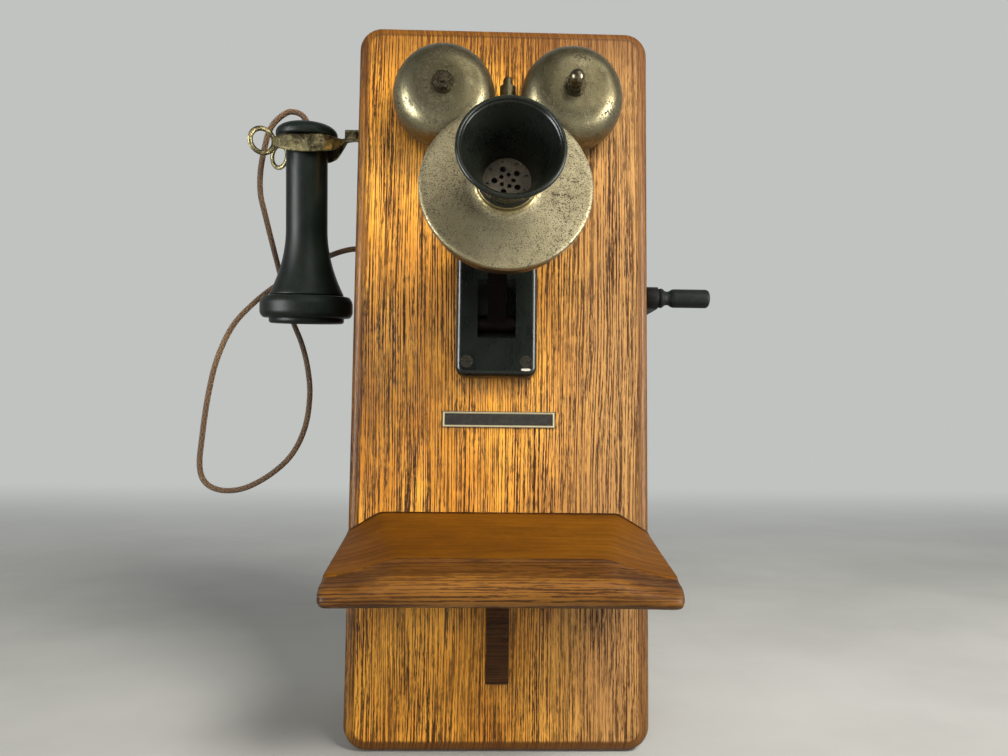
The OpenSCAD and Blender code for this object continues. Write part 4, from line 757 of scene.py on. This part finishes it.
# Switch hook: two leaf-shaped prongs, as x, top and bottom, that end in rings
LEAF = [
    (-112, 193.2, 187.0), (-116, 190.4, 186.6), (-120, 187.4, 186.0), (-123, 186.8, 181.8),
    (-127, 186.8, 177.6), (-131, 186.8, 175.2), (-136, 186.8, 173.8), (-142, 186.8, 173.3),
    (-150, 186.7, 173.3), (-157, 186.5, 173.7), (-162, 186.0, 174.4), (-166, 185.2, 175.2),
    (-170, 184.3, 175.6)]
PRONG_T = 2.6
PRONG_OFF = (3.8, 18.6)
PRONG_BEND = (-121.0, 15.0)
RING_AT = (-177.96, 24.1, 179.4)
RING_R = 8.9
RING_SECTION = (1.9, 1.4)
RING_TURN = math.radians(35)
AROUND = 16
PIVOT = Vector((0, TAIL.y, TAIL.z))
LEAN_ABOUT = Matrix.Translation(PIVOT) @ LEANING @ Matrix.Translation(-PIVOT)


def prong_off(x):
    t = min(max((PRONG_BEND[0] - x) / PRONG_BEND[1], 0.0), 1.0)
    return PRONG_OFF[0] + (PRONG_OFF[1] - PRONG_OFF[0]) * (1 - math.cos(math.pi * t)) / 2


def leaf_section(x, top, bottom, side, pinch=1.0):
    """Rounded upright oblong across the prong's path."""
    slope = (prong_off(x + 0.5) - prong_off(x - 0.5)) * side
    across = Vector((slope, -1.0, 0.0)).normalized()
    mid = Vector((x, TAIL.y + side * prong_off(x), (top + bottom) / 2))
    half_t, half_h = PRONG_T / 2 * pinch, (top - bottom) / 2 * pinch
    points = []
    for k in range(AROUND):
        a = 2 * math.pi * k / AROUND
        c, d = math.cos(a), math.sin(a)
        points.append(mid + across * half_t * math.copysign(abs(c) ** 0.7, c)
                      + Vector((0, 0, half_h * math.copysign(abs(d) ** 0.45, d))))
    return [LEAN_ABOUT @ p for p in points]


def ring_sections(side, turns=40):
    """Sections round the ring at the end of a prong, turned outward."""
    middle = Vector((RING_AT[0], TAIL.y + side * RING_AT[1], RING_AT[2]))
    turn = Matrix.Rotation(-side * RING_TURN, 3, "Z")
    flat = turn @ Vector((0, 1, 0))
    rows = []
    for i in range(turns):
        a = 2 * math.pi * i / turns
        out = turn @ Vector((math.cos(a), 0, math.sin(a)))
        row = []
        for k in range(AROUND):
            b = 2 * math.pi * k / AROUND
            reach = RING_R + RING_SECTION[0] * math.cos(b)
            row.append(LEAN_ABOUT @ (middle + out * reach + flat * RING_SECTION[1] * math.sin(b)))
        rows.append(row)
    return rows


fork_verts, fork_faces = [], []


def add_rows(rows, closed):
    """Adds a skin over the rows to the fork, joined end to end or capped."""
    base = len(fork_verts)
    for row in rows:
        fork_verts.extend(p * MM for p in row)
    for i in range(len(rows) if closed else len(rows) - 1):
        one, two = base + i * AROUND, base + (i + 1) % len(rows) * AROUND
        for k in range(AROUND):
            n = (k + 1) % AROUND
            fork_faces.append((one + k, one + n, two + n, two + k))
    if not closed:
        fork_faces.append(tuple(base + k for k in range(AROUND))[::-1])
        fork_faces.append(tuple(base + (len(rows) - 1) * AROUND + k for k in range(AROUND)))


for side in (-1, 1):
    rows = [leaf_section(LEAF[0][0] + 0.4, LEAF[0][1], LEAF[0][2], side, 0.7)]
    rows += [leaf_section(*leaf, side) for leaf in LEAF]
    rows.append(leaf_section(LEAF[-1][0] - 1.0, LEAF[-1][1] - 0.8, LEAF[-1][2] + 0.8, side, 0.8))
    add_rows(rows, False)
    add_rows(ring_sections(side), True)
fork = tidy_normals(mesh_object("hook_fork", fork_verts, fork_faces))
place_piece(fork, "hook", "hook_metal", hook_metal, "hook_prongs")

# Writing shelf: sloping top whose ends fall away, a stepped nose and rounded corners
SHELF_AT = Vector((0.0, -146.0, -91.5))
SLOPE = math.radians(12.5)
HALF_W = 102.5
REACH = 102.5
FLAT_P = 82.0
NOSE = (92.5, -14.2, 10.0)
NOSE_STEP = ((82.7, -0.9), (83.6, -1.7), (85.2, -2.4), (87.5, -2.9), (90.0, -3.5))
UNDERSIDE = ((86.0, -23.4), (82.0, -20.2), (60.0, -20.0), (30.0, -20.0), (0.0, -20.0))
TOP_STEPS = 14
NOSE_STEPS = 18
BEVEL_W = (21.5, 20.5)
BEVEL_H = (13.5, 2.9)
SHELF_EDGES = [0.0, 0.15, 0.5, 1.0, 1.7, 2.6, 4.0, 6.0, 9.0, 13, 18, 20, 22, 24, 26, 29, 32, 35,
               38, 41, 44, 47, 51, 60, 75, 90]
NOSE_FROM_Y = -0.225
FACES_DOWN = -0.4
CORNER_R = 7.0
END_R = 2.9
BEVEL_SOFT = 0.004


def rounding(e, r):
    """How far a quarter round of radius r stands back at a distance e from its end."""
    return r - math.sqrt(max(r * r - (r - min(e, r)) ** 2, 0.0))


def shelf_drop(e, p):
    """How far the top falls near its end: a sloping face, wider and hollower to the front."""
    t = min(p / FLAT_P, 1.0)
    u = 1.0 - e / (BEVEL_W[0] + BEVEL_W[1] * t)
    u = min(0.5 * (u + math.sqrt(u * u + BEVEL_SOFT)), 1.0)
    return (BEVEL_H[0] - BEVEL_H[1] * t) * (1.0 - (1.0 - u) ** (1.0 + 0.5 * t))


def shelf_section(x):
    """The shelf's outline at x, from the door along its top, round its nose and back."""
    e = max(HALF_W - abs(x), 0.0)
    inset = rounding(e, END_R)
    points = []
    for i in range(TOP_STEPS + 1):
        p = FLAT_P * i / TOP_STEPS
        points.append((p, -shelf_drop(e, p) - inset))
    lip = shelf_drop(e, FLAT_P)
    squeeze = 1.0 + lip / (NOSE[1] - NOSE[2])
    points += [(p, q * squeeze - lip - inset) for p, q in NOSE_STEP]
    for i in range(NOSE_STEPS + 1):
        a = math.radians(90 - 180 * i / NOSE_STEPS)
        r = NOSE[2] - inset
        points.append((NOSE[0] + r * math.cos(a), (NOSE[1] + r * math.sin(a)) * squeeze - lip))
    points += [(p, inset + q) for p, q in UNDERSIDE]
    out = []
    for p, q in points:
        p *= 1 - rounding(e, CORNER_R) / REACH
        y = -p * math.cos(SLOPE) - q * math.sin(SLOPE)
        out.append(SHELF_AT + Vector((x, min(y, 0.0), q * math.cos(SLOPE) - p * math.sin(SLOPE))))
    return out


shelf_xs = [e - HALF_W for e in SHELF_EDGES] + [0.0] + [HALF_W - e for e in SHELF_EDGES[::-1]]
shelf = loft("shelf_board", [shelf_section(x) for x in shelf_xs])
place_piece(shelf, "door", "dark_oak", shelf_oak, "shelf")
shelf.data.materials.append(nose_oak)
for polygon in shelf.data.polygons:
    if polygon.center.y < NOSE_FROM_Y or polygon.normal.z < FACES_DOWN:
        polygon.material_index = 1

# Crank handle: turned grip
HANDLE_AT = (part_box("crank_handle")[0][0], -0.125, 0.0605)
HANDLE = Matrix.Translation(HANDLE_AT) @ Matrix.Rotation(math.radians(90), 4, "Y")
grip = lathe("crank_grip_turned", [
    (3.2, 0.1), (5.8, 0.0, 0.8), (7.0, 1.2, 0.9), (7.0, 3.4, 0.9), (5.6, 4.6, 1.0), (4.9, 6.2, 1.0),
    (5.0, 8.2, 1.0), (6.1, 9.6, 0.9), (6.7, 11.2, 1.0), (6.7, 24.0), (6.7, 35.4, 1.2),
    (5.6, 37.0, 0.8), (3.2, 37.0)], HANDLE, turns=64)
place_piece(grip, "crank_grip", "hard_rubber", handle_black, "crank_handle")

# Small rounded edges, in millimetres, on the pieces carried over as they are
EDGES = {
    "door": 0.5, "shelf_bracket": 0.8, "transmitter_arm": 1.6, "crank_arm": 1.2,
    "hook_lever": 0.7, "gong_posts": 0.35, "clapper": 0.3, "name_plate": 0.15,
    "bracket_screws": 0.25, "side_left": 0.6, "side_right": 0.6, "case_top": 0.6,
    "case_bottom": 0.6,
}
for name, width in EDGES.items():
    soften(NODES[name], width)

# Receiver cord: one braided tube along the route, from the case to the receiver
HANG_AXIS = Vector((0.0, -math.sin(LEAN), math.cos(LEAN)))
ENTRY = Vector((-96.5, -60.0, 109.0))
FROM_TAIL = [
    (-5, -1.6, 15.8), (-13, -1.6, 17.6), (-19.5, -1.5, 14.2), (-25.8, -1, 7.8), (-29.5, -0.5, 0.6),
    (-31.5, 0, -7.4), (-33.5, 0.5, -17.4), (-36, 4, -30.4), (-37, 10, -44.4), (-35.5, 18, -57.4),
    (-33.5, 33, -76.4), (-31.5, 51.5, -97.4), (-27.5, 56, -117.4), (-20.5, 58.5, -138.4),
    (-13, 57, -155.4), (-6, 50, -175.4), (-2, 44, -198.4), (-3.5, 38, -224.4), (-12.5, 35, -246.4),
    (-28.5, 34, -262.4), (-48.5, 34, -273.4), (-66.5, 34, -275.4), (-79.5, 34, -269.4),
    (-84.5, 34, -256.4), (-83.5, 34, -234.4), (-81, 36, -202.4), (-76, 39, -171.4),
    (-66.5, 45, -143.4), (-54, 57, -122.4), (-37.5, 63, -105.9),
]
FROM_ENTRY = [(-70.5, 33, -11.5), (-46, 17, -3), (-25.5, 3, 0), (-9.5, 0, 0), (2.5, 0, 0)]
CORD = [TAIL + 4.6 * HANG_AXIS, TAIL + Vector((-0.6, 0.0, 0.0)) + 10.6 * HANG_AXIS]
CORD += [TAIL + Vector(p) for p in FROM_TAIL] + [ENTRY + Vector(p) for p in FROM_ENTRY]
CORD_D = 4.4


def smooth(points, steps):
    """Points on a Catmull-Rom curve through the given ones."""
    p = [Vector(q) for q in points]
    out = []
    for i in range(len(p) - 1):
        a, b, c, d = p[max(i - 1, 0)], p[i], p[i + 1], p[min(i + 2, len(p) - 1)]
        for k in range(steps):
            t = k / steps
            out.append(0.5 * (2 * b + (c - a) * t + (2 * a - 5 * b + 4 * c - d) * t * t
                              + (3 * b - a - 3 * c + d) * t ** 3))
    out.append(p[-1])
    return out


def tube(name, path, radius, sides=14):
    """Round tube along a path, with its length and turn as texture coordinates."""
    verts, faces, uvs = [], [], []
    run = [0.0]
    for a, b in zip(path, path[1:]):
        run.append(run[-1] + (b - a).length)
    normal = (path[1] - path[0]).orthogonal()
    for i, p in enumerate(path):
        t = (path[min(i + 1, len(path) - 1)] - path[max(i - 1, 0)]).normalized()
        normal = (normal - t * normal.dot(t)).normalized()
        other = t.cross(normal)
        for k in range(sides):
            a = 2 * math.pi * k / sides
            verts.append(p + radius * (math.cos(a) * normal + math.sin(a) * other))
    for i in range(len(path) - 1):
        for k in range(sides):
            n = (k + 1) % sides
            faces.append((i * sides + k, i * sides + n, (i + 1) * sides + n, (i + 1) * sides + k))
            uvs.append(((k / sides, run[i]), ((k + 1) / sides, run[i]),
                        ((k + 1) / sides, run[i + 1]), (k / sides, run[i + 1])))
    for first, step in ((0, -1), ((len(path) - 1) * sides, 1)):
        ring = [first + k for k in range(sides)][::step]
        faces.append(tuple(ring))
        uvs.append(tuple((0.0, run[0 if first == 0 else -1]) for _ in ring))
    return mesh_object(name, verts, faces, uvs), run[-1]


cord_path = [p * MM for p in smooth(CORD, 6)]
cord, cord_length = tube("receiver_cord", cord_path, CORD_D / 2 * MM)
dress(cord, cord_brown)
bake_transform(cord)
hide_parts("cord_upper", "cord_lower")

# Floor that fades into the sky, light and camera
FLOOR_Z = -0.2502
FLOOR_HALF = 9
FLOOR_TONES = ((0.46, 0.47, 0.46), (0.54, 0.55, 0.54))
FADE_Y = (0.0, 2.6)
SKY = (0.86, 0.88, 0.86)
SKY_FRONT = 0.62
SKY_BACK = 0.15
s = Shader("floor_pale")
far = s.span(s.split(s.place)[1], *FADE_Y)
floor_tone = s.mix(s.span(s.noise(s.place, 3.0, 5.0, 0.6), 0.3, 0.7), *FLOOR_TONES)
floor_tone = s.mix(far, floor_tone, (0.0, 0.0, 0.0))
floor_material = s.set(Base_Color=floor_tone, Roughness=0.9, Specular_IOR_Level=0.0,
                       Emission_Color=SKY, Emission_Strength=s.times(far, SKY_FRONT))
SQUARE = ((-1, -1), (1, -1), (1, 1), (-1, 1))
corners = [(x * FLOOR_HALF, y * FLOOR_HALF, FLOOR_Z) for x, y in SQUARE]
floor = mesh_object("floor", corners, [(0, 1, 2, 3)])
dress(floor, floor_material)

world = bpy.data.worlds.new("studio")
bpy.context.scene.world = world
world.use_nodes = True
nodes, links = world.node_tree.nodes, world.node_tree.links
sky = nodes["Background"]
direction = nodes.new("ShaderNodeSeparateXYZ")
links.new(nodes.new("ShaderNodeTexCoord").outputs["Generated"], direction.inputs[0])
fade = nodes.new("ShaderNodeMapRange")
fade.interpolation_type = "SMOOTHSTEP"
for socket, value in zip(list(fade.inputs)[1:5], (0.0, 0.7, SKY_BACK, SKY_FRONT)):
    socket.default_value = value
links.new(direction.outputs[1], fade.inputs[0])
sky.inputs["Color"].default_value = (*SKY, 1.0)
links.new(fade.outputs[0], sky.inputs["Strength"])


def area_light(name, position, target, size, power, colour, diffuse=True, glossy=True):
    data = bpy.data.lights.new(name, "AREA")
    data.shape = "RECTANGLE"
    data.size, data.size_y = size
    data.energy = power
    data.color = colour
    obj = bpy.data.objects.new(name, data)
    bpy.context.scene.collection.objects.link(obj)
    obj.location = position
    obj.visible_diffuse = diffuse
    obj.visible_glossy = glossy
    aim = Vector(target) - Vector(position)
    obj.rotation_euler = aim.to_track_quat("-Z", "Y").to_euler()


KEY_AT = (0.75, -1.2, 1.0)
KEY_AIM = (0, -0.15, 0.05)
SIDE_AIM = (0, -0.17, 0.19)
FILL_AT = (-0.5, -3.0, 0.85)
FILL_AIM = (0, -0.12, -0.05)
SIDE_SIZE = (0.45, 0.7)
area_light("key", KEY_AT, KEY_AIM, (0.65, 0.55), 38.0, (1.0, 0.95, 0.87), glossy=False)
area_light("key_glow", KEY_AT, KEY_AIM, (1.3, 1.1), 15.0, (1.0, 0.97, 0.92), diffuse=False)
area_light("fill", FILL_AT, FILL_AIM, (1.6, 1.1), 42.0, (1.0, 0.95, 0.88), glossy=False)
for name, position, colour in (("left", (-1.05, -0.72, 0.10), (0.97, 0.99, 1.0)),
                               ("right", (1.05, -0.72, 0.14), (1.0, 0.99, 0.96))):
    area_light(name, position, SIDE_AIM, SIDE_SIZE, 21.0, colour, diffuse=False)

CAMERA_AT = (-0.01138, -0.66355, -0.03928)
YAW, PITCH, ROLL = (math.radians(a) for a in (1.515, 4.31, 0.594))
FOCAL_PX = 757.0
IMAGE_W = 1008.0
SENSOR_W = 36.0
forward = Vector((math.sin(YAW) * math.cos(PITCH), math.cos(YAW) * math.cos(PITCH),
                  math.sin(PITCH)))
level = Vector((math.cos(YAW), -math.sin(YAW), 0.0))
above = level.cross(forward)
right = math.cos(ROLL) * level + math.sin(ROLL) * above
up = -math.sin(ROLL) * level + math.cos(ROLL) * above
bpy.context.scene.view_settings.view_transform = "Standard"
camera_data = bpy.data.cameras.new("camera")
camera_data.sensor_width = SENSOR_W
camera_data.lens = FOCAL_PX * SENSOR_W / IMAGE_W
camera_data.clip_start = 0.01
camera = bpy.data.objects.new("camera", camera_data)
bpy.context.scene.collection.objects.link(camera)
facing = Matrix((right, up, -forward)).transposed().to_4x4()
camera.matrix_world = Matrix.Translation(CAMERA_AT) @ facing
bpy.context.scene.camera = camera
